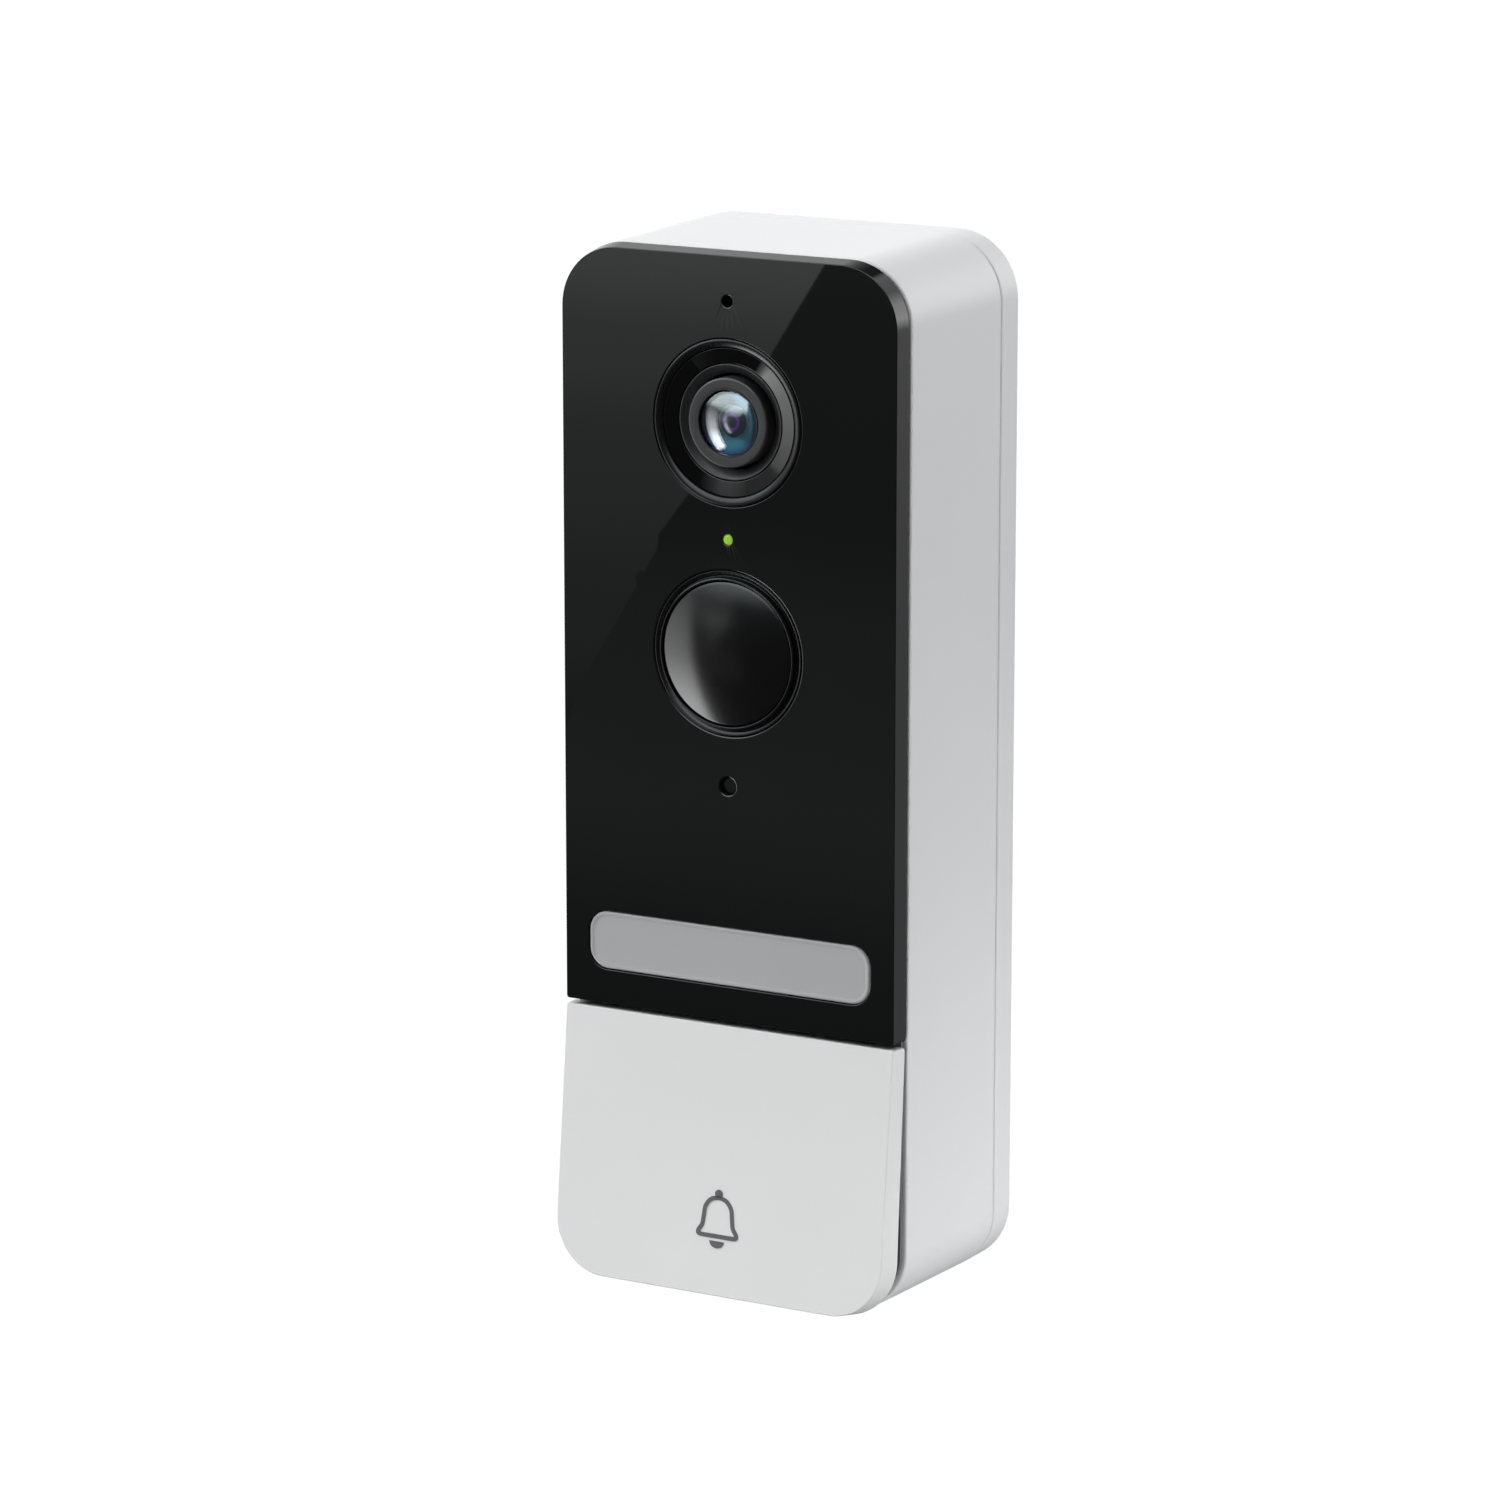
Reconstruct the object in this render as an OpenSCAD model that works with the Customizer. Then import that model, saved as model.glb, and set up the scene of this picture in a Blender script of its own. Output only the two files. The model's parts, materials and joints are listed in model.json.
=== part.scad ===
// Battery video doorbell on its wall bracket, built as separate pieces.
// Millimetres. +X is right seen from the front, -Y faces the visitor, +Y faces the wall, +Z is up.
// The origin is the middle of the bracket's wall face, so the wall is the plane y = 0.

/* [Body] */
// Overall width
body_w = 54; // [48:0.5:64]
// Overall height
body_h = 148; // [130:1:170]
// Depth from the wall to the front panel
body_d = 34; // [30:0.5:40]
// Corner radius of the housing at the seam
corner_r = 9.3; // [5:0.1:14]
// Draft of the housing between seam and front rim
draft = 0.5; // [0:0.1:1]
// Wall thickness
wall = 2.2; // [1.6:0.1:3]
// Distance of the seam from the wall
seam_y = 5.6; // [4.5:0.1:8]

/* [Front panel] */
// Thickness of the glossy panel
panel_t = 2.8; // [1.6:0.1:3.2]
// Broken edge around panel and button
edge_break = 0.5; // [0.2:0.05:0.8]
// Height of the panel's lower edge
panel_low_z = -33.9; // [-45:0.1:-25]

/* [Camera] */
// Height of the lens axis
lens_z = 50.1; // [44:0.1:54]
// Radius of the bezel ring
bezel_r = 11.5; // [9:0.1:13]
// Radius of the lens barrel
barrel_r = 6.2; // [5:0.1:7]
// Radius of the front glass
glass_r = 4.5; // [3:0.1:5]

/* [Motion sensor] */
// Height of the sensor axis
pir_z = 18.2; // [14:0.1:24]
// Radius of the dome
dome_r = 10; // [7:0.1:11]
// Rise of the dome
dome_h = 1.4; // [0.6:0.1:2.5]

/* [Small front features] */
// Height of the microphone hole
mic_z = 66.7; // [60:0.1:68]
// Height of the status light
led_z = 34; // [31:0.1:36]
// Height of the daylight sensor
day_z = -0.4; // [-6:0.1:4]

/* [Light bar] */
// Width of the light bar
bar_w = 44.8; // [30:0.1:46]
// Height of the light bar
bar_h = 8.5; // [5:0.1:10]
// Height of its centre line
bar_z = -24.6; // [-28:0.1:-16]

/* [Push button] */
// Lean of the push plate
button_tilt = 5.8; // [0:0.1:8]
// Height of the hinge pins
pivot_z = -37.4; // [-38.5:0.1:-36.5]
// Height of the switch under the plate
switch_z = -62; // [-64:0.5:-55]

/* [Battery] */
// Cell diameter
cell_d = 18.4; // [18:0.1:18.6]
// Cell length
cell_l = 65; // [64:0.5:66]

/* [Wall bracket] */
// Distance between the wall screw holes
screw_gap = 90; // [60:1:110]
// Diameter of the wall screw holes
screw_hole = 4.5; // [3.5:0.1:5.5]
// Thickness of the bracket plate
bracket_t = 2.4; // [2:0.1:2.6]

/* [Hidden] */

$fn = 64;

hw = body_w / 2;
hh = body_h / 2;
face_y = -body_d;
panel_back = face_y + panel_t;
rim_y = panel_back + 0.7;
flange_y = panel_back + 0.2;
plate_back = rim_y + 1.3;
inner_w = hw - wall - 0.2;
inner_h = hh - wall - 0.3;
panel_hw = hw - draft;
panel_top = hh - draft - 0.2;
panel_r = corner_r - 0.4;
boss_x = 21;
boss_z = 68;
boss_r = 2.6;
carrier_post_x = 21.6;
carrier_post_z = [-55, -5, 45];
main_front = -16.8;
main_t = 1.2;
sensor_front = -25.2;
sensor_t = 1;
board_posts = [[-14.5, 11], [19.5, 11], [-15.2, 60], [19.5, 57]];
sensor_posts = [[-9.8, 6.9], [9.8, 6.9], [-9, 35], [9, 35]];
switch_posts = [[-6.5, -48.5], [6.5, -48.5]];
switch_board_front = -26.4;
pivot_y = -29.6;
lug_x = 18.5;
button_top = panel_low_z - 0.4;
button_len = 38.75;
spring_x = 14;
spring_z = -64;
cell_y = -14.2;
cell_x = cell_d / 2 + 0.4;
cell_z0 = -60.5;
speaker_y = -15.4;
speaker_z = 20;
port_x = 12.5;
port_y = -13.4;
reset_x = -12;
reset_y = -14.3;
release_y = -8.6;
hook_y = -2.25;
hook_z = 70;
hook_r = 0.9;
hook_x = 13;
shell_white = [0.90, 0.91, 0.92];
panel_black = [0.04, 0.04, 0.045];
part_black = [0.10, 0.10, 0.11];
frame_grey = [0.24, 0.25, 0.26];
board_green = [0.07, 0.32, 0.20];
steel = [0.72, 0.73, 0.75];
rubber_grey = [0.30, 0.31, 0.32];
gold = [0.83, 0.68, 0.34];

// A rounded rectangle about its own centre.
module rounded(w, h, r) {
  square([w - 2 * r, h], center = true);
  square([w, h - 2 * r], center = true);
  for (sx = [-1, 1], sz = [-1, 1]) {
    translate([sx * (w / 2 - r), sz * (h / 2 - r)]) circle(r);
  }
}

// Stands a flat outline up and gives it depth from y0 to y1.
module deep(y0, y1) {
  translate([0, y1, 0]) rotate([90, 0, 0]) linear_extrude(y1 - y0) children();
}

// A rounded slab between two depths.
module slab(w, h, r, y0, y1, x = 0, z = 0) {
  translate([x, 0, z]) deep(y0, y1) rounded(w, h, r);
}

// A box given by its six limits.
module block(x0, x1, y0, y1, z0, z1) {
  translate([x0, y0, z0]) cube([x1 - x0, y1 - y0, z1 - z0]);
}

// A round rod along Y.
module rod(r, y0, y1, x = 0, z = 0) {
  translate([x, y1, z]) rotate([90, 0, 0]) cylinder(r = r, h = y1 - y0);
}

// A round rod along X.
module axle(r, x0, x1, y, z) {
  translate([x0, y, z]) rotate([0, 90, 0]) cylinder(r = r, h = x1 - x0);
}

// A turned piece about an axis along Y, its profile given as [radius, y].
module turned(profile, z, x = 0) {
  translate([x, 0, z]) rotate([90, 0, 0]) rotate_extrude() polygon([for (p = profile) [p[0], -p[1]]]);
}

// Outline of the glossy panel, pulled in by e on every side.
module panel_outline(e) {
  w = panel_hw - e;
  r = panel_r - e;
  top = panel_top - e;
  low = panel_low_z + e;
  translate([-w, low]) square([2 * w, top - r - low]);
  translate([r - w, low]) square([2 * (w - r), top - low]);
  for (s = [-1, 1]) translate([s * (w - r), top - r]) circle(r);
}

// Outline of the push plate in its own leaning plane, top edge at zero.
module button_outline(e) {
  w = panel_hw - e;
  r = 8.4 - e;
  translate([-w, r + e - button_len]) square([2 * w, button_len - r - 2 * e]);
  translate([r - w, e - button_len]) square([2 * (w - r), button_len - 2 * e]);
  for (s = [-1, 1]) translate([s * (w - r), r + e - button_len]) circle(r);
}

// Puts children into the leaning plane of the push plate.
module leaning() {
  translate([0, face_y, button_top]) rotate([-button_tilt, 0, 0]) children();
}

// ---------- wall side ----------

module wall_bracket() {
  color(frame_grey) {
    difference() {
      slab(45, 136, 6, -bracket_t, 0, 0, -0.7);
      for (s = [-1, 1]) {
        rod(screw_hole / 2, -3, 1, 0, s * screw_gap / 2);
        rod(4.3, -3, -bracket_t + 1.1, 0, s * screw_gap / 2);
      }
      slab(27, 64, 5, -3, -bracket_t + 0.9);
      block(-18.5, 7, -3, 1, -72, -64.6);
      for (s = [-1, 1]) rod(1.05, -3, 1, -13, -59.5 + s * 2);
    }
    for (s = [-1, 1]) {
      block(s * hook_x - 4, s * hook_x + 4, -3, -0.4, 66.4, 68.9);
      block(s * hook_x - 4, s * hook_x + 4, -3, -1.5, 68, hook_z);
      axle(hook_r, s * hook_x - 4, s * hook_x + 4, hook_y, hook_z);
    }
  }
}

module latch_clip() {
  color(steel) {
    difference() {
      block(-17, -9, -2.9, -2.4, -66.5, -55);
      for (s = [-1, 1]) rod(1.05, -4, -2, -13, -59.5 + s * 2);
    }
    block(-17, 2.5, -2.9, -0.4, -66.5, -66);
    block(-2.5, 2.5, -9.8, -2.9, -66.5, -66);
    block(-2.5, 2.5, -5.3, -4.8, -68.2, -66);
  }
}

module latch_rivets() {
  color(steel) for (s = [-1, 1]) {
    translate([0, 0, s * 2]) turned([[0, -3.1], [1.5, -3.1], [1.7, -2.92], [1, -2.92], [1, -0.1], [0, -0.1]], -59.5, -13);
  }
}

// ---------- body ----------

module housing() {
  color(shell_white) difference() {
    union() {
      difference() {
        hull() {
          slab(2 * (panel_hw - 0.3), 2 * (hh - 0.9), panel_r - 0.3, rim_y, rim_y + 0.01, $fn = 48);
          slab(2 * panel_hw, 2 * (hh - 0.6), panel_r, rim_y + 0.35, rim_y + 0.36, $fn = 48);
          slab(body_w, body_h, corner_r, -seam_y - 0.31, -seam_y - 0.3, $fn = 48);
          slab(body_w - 0.4, body_h - 0.4, corner_r - 0.2, -seam_y - 0.01, -seam_y, $fn = 48);
        }
        slab(2 * inner_w, 2 * inner_h, 6.9, rim_y - 1, 1);
      }
      for (sx = [-1, 1], sz = [-1, 1]) {
        rod(boss_r, -22, -seam_y - 0.05, sx * boss_x, sz * boss_z);
      }
      for (s = [-1, 1], z = carrier_post_z) {
        block(s * 22.1 - 2.9, s * 22.1 + 2.9, -24, -22.7, z - 3, z + 3);
      }
    }
    for (sx = [-1, 1], sz = [-1, 1]) rod(1.05, -20, 0, sx * boss_x, sz * boss_z);
    for (s = [-1, 1], z = carrier_post_z) rod(1.1, -25, -22, s * carrier_post_x, z);
    difference() {
      slab(52.4, 146.4, 8.5, -seam_y - 0.8, 1);
      slab(50.6, 144.6, 7.6, -seam_y - 2, 2);
    }
    // charging port: flap recess and socket opening
    block(port_x - 7.2, port_x + 7.2, port_y - 5.2, port_y + 5.2, -80, -72.7);
    block(port_x - 4.9, port_x + 4.9, port_y - 2.1, port_y + 2.1, -80, -70);
    // reset and release holes
    translate([reset_x, reset_y, -80]) cylinder(r = 1.56, h = 12, $fn = 48);
    translate([0, release_y, -80]) cylinder(r = 1.26, h = 12, $fn = 48);
    // speaker grille
    for (i = [-2:2], j = [-2:2]) {
      if (abs(i) + abs(j) < 4) {
        axle(0.8, -40, -20, speaker_y + j * 2.9, speaker_z + i * 2.9, $fn = 24);
      }
    }
  }
}

module rear_cover() {
  color(shell_white) difference() {
    union() {
      slab(body_w - 0.4, body_h - 0.4, corner_r - 0.2, -seam_y + 0.02, -1);
      slab(body_w, body_h, corner_r, -seam_y + 0.25, -0.75);
      slab(body_w - 0.6, body_h - 0.6, corner_r - 0.3, -seam_y + 1, -0.4);
    }
    // front side, open to the housing but for the screw pads
    difference() {
      slab(50, 144, 7.1, -9, -4.6);
      for (sx = [-1, 1], sz = [-1, 1]) rod(3.3, -9, -4, sx * boss_x, sz * boss_z);
    }
    // bracket pocket, with the two lips that hang on its hooks
    difference() {
      slab(50, 144, 7.1, -3.2, 1);
      for (s = [-1, 1]) block(s * hook_x - 5, s * hook_x + 5, -1.2, 3, 69.25, 76);
    }
    for (sx = [-1, 1], sz = [-1, 1]) {
      rod(1.15, -8, 0, sx * boss_x, sz * boss_z);
      rod(2.3, -4.7, 0, sx * boss_x, sz * boss_z);
    }
    block(-4.2, 4.2, -5, -3, -67.2, -63.5);
  }
}

module housing_seal() {
  color(rubber_grey) difference() {
    slab(52.3, 146.3, 8.45, -seam_y - 0.78, -seam_y);
    slab(50.7, 144.7, 7.65, -seam_y - 2, -seam_y + 1);
  }
}

module cover_screws() {
  color(steel) for (sx = [-1, 1], sz = [-1, 1]) {
    translate([sx * boss_x, 0, sz * boss_z]) difference() {
      union() {
        rod(1, -16, -4.6);
        rod(2.1, -4.68, -3.4);
      }
      slab(2.2, 0.6, 0.1, -4.1, -3);
      slab(0.6, 2.2, 0.1, -4.1, -3);
    }
  }
}

module carrier_frame() {
  color(frame_grey) difference() {
    union() {
      slab(2 * (panel_hw - 0.8), 2 * (hh - 1.5), panel_r - 0.8, flange_y, rim_y);
      slab(2 * (inner_w - 0.15), 2 * (inner_h - 0.15), 6.75, rim_y - 0.01, plate_back);
      // skirt under the push plate
      intersection() {
        difference() {
          slab(2 * 24.55, 2 * 71.6, 6.4, -36, flange_y + 0.1);
          slab(2 * 23.3, 2 * 70.35, 5.2, -37, flange_y + 1);
        }
        rotate([90, 0, 90]) translate([0, 0, -30]) linear_extrude(60) polygon([
          [flange_y + 0.2, -39], [-32.1, -39], [-34.9, -73], [flange_y + 0.2, -73]]);
      }
      for (s = [-1, 1], z = carrier_post_z) rod(2.3, plate_back - 0.5, -24.05, s * carrier_post_x, z);
      for (p = board_posts) rod(2.3, plate_back - 0.5, main_front - 0.02, p[0], p[1]);
      for (p = sensor_posts) rod(1.9, plate_back - 0.5, sensor_front - 0.02, p[0], p[1]);
      for (p = switch_posts) rod(1.9, plate_back - 0.5, switch_board_front - 0.02, p[0], p[1]);
      for (s = [-1, 1], o = [-2.95, 2.95]) {
        block(s * lug_x + o - 1.1, s * lug_x + o + 1.1, plate_back - 0.5, -27.4, pivot_z - 2.2, pivot_z + 2.2);
      }
    }
    rod(10.35, -36, -20, 0, lens_z);
    rod(10.2, -36, -20, 0, pir_z);
    rod(0.95, -36, -27, 0, led_z);
    rod(1.45, -36, -27, 0, day_z);
    rod(0.8, -36, -27, 0, mic_z);
    slab(47.4, 10.8, 4, -36, -30, 0, bar_z);
    slab(42.6, 6.6, 2, -36, -28, 0, bar_z);
    for (s = [-1, 1]) {
      axle(1.02, s * lug_x - 4.3, s * lug_x + 4.3, pivot_y, pivot_z);
      block(s * lug_x - 1.8, s * lug_x + 1.8, -36, -27, pivot_z - 2.6, pivot_z + 3);
    }
    slab(7, 7, 0.5, -36, -27, 0, switch_z);
    for (s = [-1, 1], z = carrier_post_z) rod(0.85, -28.8, -20, s * carrier_post_x, z);
    for (p = board_posts) rod(0.85, -24, -10, p[0], p[1]);
    for (p = sensor_posts) rod(0.7, -28.6, -20, p[0], p[1]);
    for (p = switch_posts) rod(0.7, -28.8, -20, p[0], p[1]);
  }
}

module carrier_screws() {
  color(steel) for (s = [-1, 1], z = carrier_post_z) {
    translate([s * carrier_post_x, 0, z]) difference() {
      union() {
        rod(0.8, -28, -22.6);
        rod(1.7, -22.68, -21.4);
      }
      slab(1.8, 0.5, 0.1, -22, -21);
      slab(0.5, 1.8, 0.1, -22, -21);
    }
  }
}

// ---------- front ----------

module front_panel() {
  color(panel_black) difference() {
    union() {
      deep(face_y + edge_break, panel_back) panel_outline(0);
      hull() {
        deep(face_y, face_y + 0.01) panel_outline(edge_break);
        deep(face_y + edge_break, face_y + edge_break + 0.01) panel_outline(0);
      }
    }
    rod(bezel_r + 0.08, -40, -20, 0, lens_z);
    rod(bezel_r + 0.08, -40, -20, 0, pir_z);
    rod(0.78, -40, -20, 0, led_z);
    rod(1.3, -40, -20, 0, day_z);
    rod(0.85, -40, -20, 0, mic_z);
    slab(bar_w, bar_h, 3, -40, -20, 0, bar_z);
  }
}

module panel_tape() {
  color(part_black) difference() {
    deep(panel_back, flange_y) panel_outline(1.3);
    deep(panel_back - 1, flange_y + 1) panel_outline(2.8);
  }
}

module lens_bezel() {
  color(part_black) turned([[10.25, -31.3], [bezel_r, -31.3], [bezel_r, -33.95], [11.35, -34.12],
    [10.95, -34.12], [10.3, -33.75], [10.25, -33.5]], lens_z);
}

module lens_baffle() {
  color(panel_black) turned([[6.9, -28.4], [11.2, -28.4], [11.2, -29.15], [10.18, -29.15], [10.18, -33.6],
    [8.1, -33.25], [8, -33.05], [6.9, -31.9]], lens_z);
}

module lens_barrel() {
  color(part_black) turned([[4.7, -33.95], [6.05, -33.95], [barrel_r, -33.8], [barrel_r, -24.6], [5.95, -24.2],
    [5.95, -18.4], [3.4, -18.4], [3.4, -22], [3.9, -22], [3.9, -30.4], [4.7, -30.4]], lens_z);
}

module lens_retainer() {
  color(frame_grey) turned([[4.55, -32.4], [4.68, -32.4], [4.68, -34.05], [4.55, -34.05]], lens_z);
}

// The domed front element
module lens_glass() {
  rad = 11;
  a = asin(glass_r / rad);
  color([0.15, 0.32, 0.40, 0.8]) turned(concat(
    [for (i = [0:10]) [rad * sin(a * i / 10), -23.85 - rad * cos(a * i / 10)]],
    [[glass_r, -32.3], [3.85, -32], [3.85, -30.6], [0, -30.6]]), lens_z);
}

module lens_iris() {
  color(panel_black) turned([[1.3, -28.2], [3.85, -28.2], [3.85, -28.9], [1.9, -28.9]], lens_z);
}

module lens_rear_element() {
  color([0.30, 0.30, 0.42, 0.8]) turned([[0, -23.4], [1.5, -23.6], [3.35, -24.4], [3.85, -24.6],
    [3.85, -22.1], [0, -22.1]], lens_z);
}

module lens_holder() {
  color(part_black) translate([0, 0, lens_z]) difference() {
    union() {
      slab(17, 17, 1, -20.6, main_front);
      rod(8, -24.1, -20.6);
    }
    rod(6.02, -30, -18.1);
    slab(10, 9, 0.5, -18.2, 0);
  }
}

module image_sensor() {
  color([0.20, 0.22, 0.30]) slab(8.4, 7.4, 0.3, -18, main_front, 0, lens_z);
}

module led_light_pipe() {
  color([0.75, 0.92, 0.70, 0.8]) turned([[0, -34], [0.7, -34], [0.7, -29.2], [1.6, -29.15], [1.6, -28.4],
    [0.7, -28.4], [0.7, -26.2], [0, -26.2]], led_z);
}

module status_led() {
  color([0.55, 0.85, 0.25]) slab(1.6, 0.9, 0.1, sensor_front - 0.7, sensor_front, 0, led_z);
}

module pir_bezel() {
  color(part_black) turned([[10.15, -31.3], [bezel_r, -31.3], [bezel_r, -33.95], [11.1, -33.85], [10.75, -33.6],
    [10.62, -33.8], [10.58, -34.25], [10.42, -34.45], [10.25, -34.45], [10.15, -34.3]], pir_z);
}

// Dome with a turned-in collar behind the frame
module pir_dome() {
  rad = (dome_r * dome_r + dome_h * dome_h) / (2 * dome_h);
  a = asin(dome_r / rad);
  ri = rad - 0.8;
  b = asin((dome_r - 1) / ri);
  yc = -34.15 - dome_h + rad;
  color(panel_black) turned(concat(
    [for (i = [0:12]) [rad * sin(a * i / 12), yc - rad * cos(a * i / 12)]],
    [[dome_r, -29.15], [11.2, -29.15], [11.2, -28.4], [dome_r - 1, -28.4]],
    [for (i = [12:-1:0]) [ri * sin(b * i / 12), yc - ri * cos(b * i / 12)]]), pir_z);
}

module pir_sensor() {
  color(steel) difference() {
    turned([[0, -29.2], [3.9, -29.2], [4.1, -29], [4.1, -25.9], [4.6, -25.9], [4.6, sensor_front],
      [0, sensor_front]], pir_z);
    slab(4, 3, 0.4, -30, -29, 0, pir_z);
  }
}

module daylight_window() {
  color([0.20, 0.20, 0.21]) turned([[0, -33.7], [1.2, -33.7], [1.2, -29.15], [2.1, -29.15], [2.1, -28.4],
    [0, -28.4]], day_z);
}

module daylight_sensor() {
  color(part_black) slab(2, 2, 0.1, sensor_front - 0.6, sensor_front, 0, day_z);
}

// Foam rings at the microphone and the speaker
module foam_gaskets() {
  color(rubber_grey) {
    turned([[0.8, plate_back + 0.02], [2.6, plate_back + 0.02], [2.6, -28.2], [0.8, -28.2]], mic_z);
    difference() {
      axle(8.8, -24.58, -24.22, speaker_y, speaker_z);
      axle(7.6, -26, -23, speaker_y, speaker_z);
    }
  }
}

module mic_board() {
  color(board_green) difference() {
    slab(14, 6.4, 0.6, -28.2, -27.4, 0, mic_z);
    rod(0.4, -29, -27, 0, mic_z);
  }
}

module microphone() {
  color(gold) slab(3.8, 3, 0.3, -27.4, -26.3, 0, mic_z);
}

module light_bar() {
  color([0.66, 0.67, 0.68]) {
    slab(bar_w - 0.2, bar_h - 0.2, 2.9, face_y + 0.1, -31, 0, bar_z);
    slab(47, 10.4, 3.8, panel_back + 0.02, -30.05, 0, bar_z);
  }
}

module spotlight_board() {
  color([0.86, 0.87, 0.85]) slab(44, 8.4, 0.6, plate_back + 0.03, plate_back + 1.03, 0, bar_z);
}

module spotlight_leds() {
  color([0.95, 0.86, 0.35]) for (i = [-3:3]) {
    slab(2.8, 2.4, 0.2, plate_back - 0.65, plate_back + 0.03, i * 6, bar_z);
  }
}

// ---------- boards and electronics ----------

module sensor_board() {
  color(board_green) difference() {
    slab(23.6, 45, 1, sensor_front, sensor_front + sensor_t, 0, 16);
    for (p = sensor_posts) rod(0.9, -30, -20, p[0], p[1]);
  }
}

module main_board() {
  color(board_green) difference() {
    union() {
      block(-17.5, 22.5, main_front, main_front + main_t, 8, 61);
      block(-17.5, 17.5, main_front, main_front + main_t, 60, 69);
    }
    for (p = board_posts) rod(1, -20, -10, p[0], p[1]);
  }
}

// One pan-head screw into a post, head behind the board.
module small_screw(x, z, back, reach, r) {
  translate([x, 0, z]) difference() {
    union() {
      rod(r, back - reach, back + 0.1);
      rod(r * 2.1, back + 0.02, back + 1.1);
    }
    slab(1.5, 0.4, 0.1, back + 0.6, back + 2);
    slab(0.4, 1.5, 0.1, back + 0.6, back + 2);
  }
}

module board_screws() {
  color(steel) {
    for (p = board_posts) small_screw(p[0], p[1], main_front + main_t, 5.5, 0.8);
    for (p = sensor_posts) small_screw(p[0], p[1], sensor_front + sensor_t, 4, 0.65);
    for (p = switch_posts) small_screw(p[0], p[1], switch_board_front + 1, 3, 0.65);
  }
}

module shield_cans() {
  back = main_front + main_t;
  color(steel) {
    slab(17, 15, 0.6, back, back + 2.2, -5, 45);
    slab(13, 12, 0.6, back, back + 2.2, 12, 45);
    slab(18, 12, 0.6, back, back + 1.8, 3, 27);
  }
}

module antenna() {
  color(gold) {
    block(-12, 12, -14.5, -9.5, 70.2, 70.6);
    block(-12, -10.4, -15.58, -14.1, 66, 70.6);
    block(-7, -5.4, -15.58, -14.1, 66, 70.6);
  }
}

module board_connectors() {
  back = main_front + main_t;
  color([0.88, 0.86, 0.78]) {
    block(-6.5, 6.5, main_front - 1.2, main_front, 27.5, 30.5);
    block(-6.5, 6.5, sensor_front + sensor_t, sensor_front + sensor_t + 1.2, 27.5, 30.5);
    block(1, 9, back, back + 3, 11, 16);
    block(-12, -6, back, back + 2.4, 14, 18);
    block(12, 17, main_front - 1.4, main_front, 20, 25);
  }
}

module flex_cable() {
  color([0.80, 0.52, 0.16]) translate([-5.5, 0, 0]) rotate([90, 0, 90]) linear_extrude(11) polygon([
    [-23, 28.9], [-20.6, 28.9], [-20.4, 25.1], [-18, 28.9], [-18, 29.1], [-20.3, 26], [-20.5, 29.1], [-23, 29.1]]);
}

module speaker_basket() {
  color(part_black) translate([0, speaker_y, speaker_z]) rotate([0, 90, 0]) rotate_extrude() polygon([
    [7.8, -24.2], [8.8, -24.2], [8.8, -22.6], [6.6, -20.6], [5.4, -20.6], [5.4, -21.4], [6.2, -21.4], [7.8, -23]]);
}

module speaker_cone() {
  color([0.16, 0.17, 0.20]) translate([0, speaker_y, speaker_z]) rotate([0, 90, 0]) rotate_extrude() polygon([
    [0, -23.6], [2.6, -23.3], [4, -22.6], [7.7, -23.9], [7.7, -23.7], [4, -22.4], [2.5, -23.1], [0, -23.4]]);
}

module speaker_magnet() {
  color(steel) axle(5.3, -21.9, -18.6, speaker_y, speaker_z);
}

// ---------- battery ----------

module battery_cells() {
  color([0.20, 0.42, 0.62]) for (s = [-1, 1]) {
    translate([s * cell_x, cell_y, cell_z0]) {
      cylinder(d = cell_d, h = cell_l - 0.8);
      cylinder(d = 8, h = cell_l);
    }
  }
}

module battery_holder() {
  top = cell_z0 + cell_l;
  color(part_black) difference() {
    block(-20.8, 20.8, -20, -8, cell_z0 - 2.2, top + 2.2);
    block(-19.1, 19.1, -21, -7, cell_z0 - 0.6, top + 0.6);
    block(-6, 8, -15.6, -12.2, top, top + 5);
  }
}

module battery_strips() {
  top = cell_z0 + cell_l;
  color(steel) {
    block(-14, 14, cell_y - 3, cell_y + 3, cell_z0 - 0.35, cell_z0 - 0.02);
    for (s = [-1, 1]) block(s * cell_x - 4, s * cell_x + 4, cell_y - 3, cell_y + 3, top + 0.02, top + 0.35);
  }
}

module battery_leads() {
  top = cell_z0 + cell_l;
  color([0.75, 0.12, 0.10]) for (s = [-1, 1]) {
    translate([5 + s * 1.6, cell_y, top + 0.37]) cylinder(r = 0.65, h = 11.1 - top - 0.5, $fn = 32);
  }
}

// ---------- bottom edge ----------

module io_board() {
  color(board_green) block(-18, 18, -11.8, -10.8, -71, -64);
}

module usb_socket() {
  color(steel) difference() {
    block(port_x - 4.5, port_x + 4.5, -15, -11.82, -72, -65);
    block(port_x - 4, port_x + 4, -14.5, -12.3, -73, -66);
  }
}

module reset_switch() {
  color(part_black) {
    block(reset_x - 2.2, reset_x + 2.2, -16, -11.82, -69.2, -66);
    translate([reset_x, reset_y, -69.6]) cylinder(r = 0.9, h = 1, $fn = 32);
  }
}

module reset_button() {
  color(rubber_grey) translate([reset_x, reset_y, 0]) {
    translate([0, 0, -73.6]) cylinder(r = 1.5, h = 3.5, $fn = 48);
    translate([0, 0, -71.45]) cylinder(r = 2, h = 0.7, $fn = 48);
  }
}

module release_plunger() {
  color(rubber_grey) translate([0, release_y, 0]) {
    translate([0, 0, -73.5]) cylinder(r = 1.2, h = 6.95, $fn = 48);
    translate([0, 0, -71.45]) cylinder(r = 2, h = 0.7, $fn = 48);
  }
}

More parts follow.
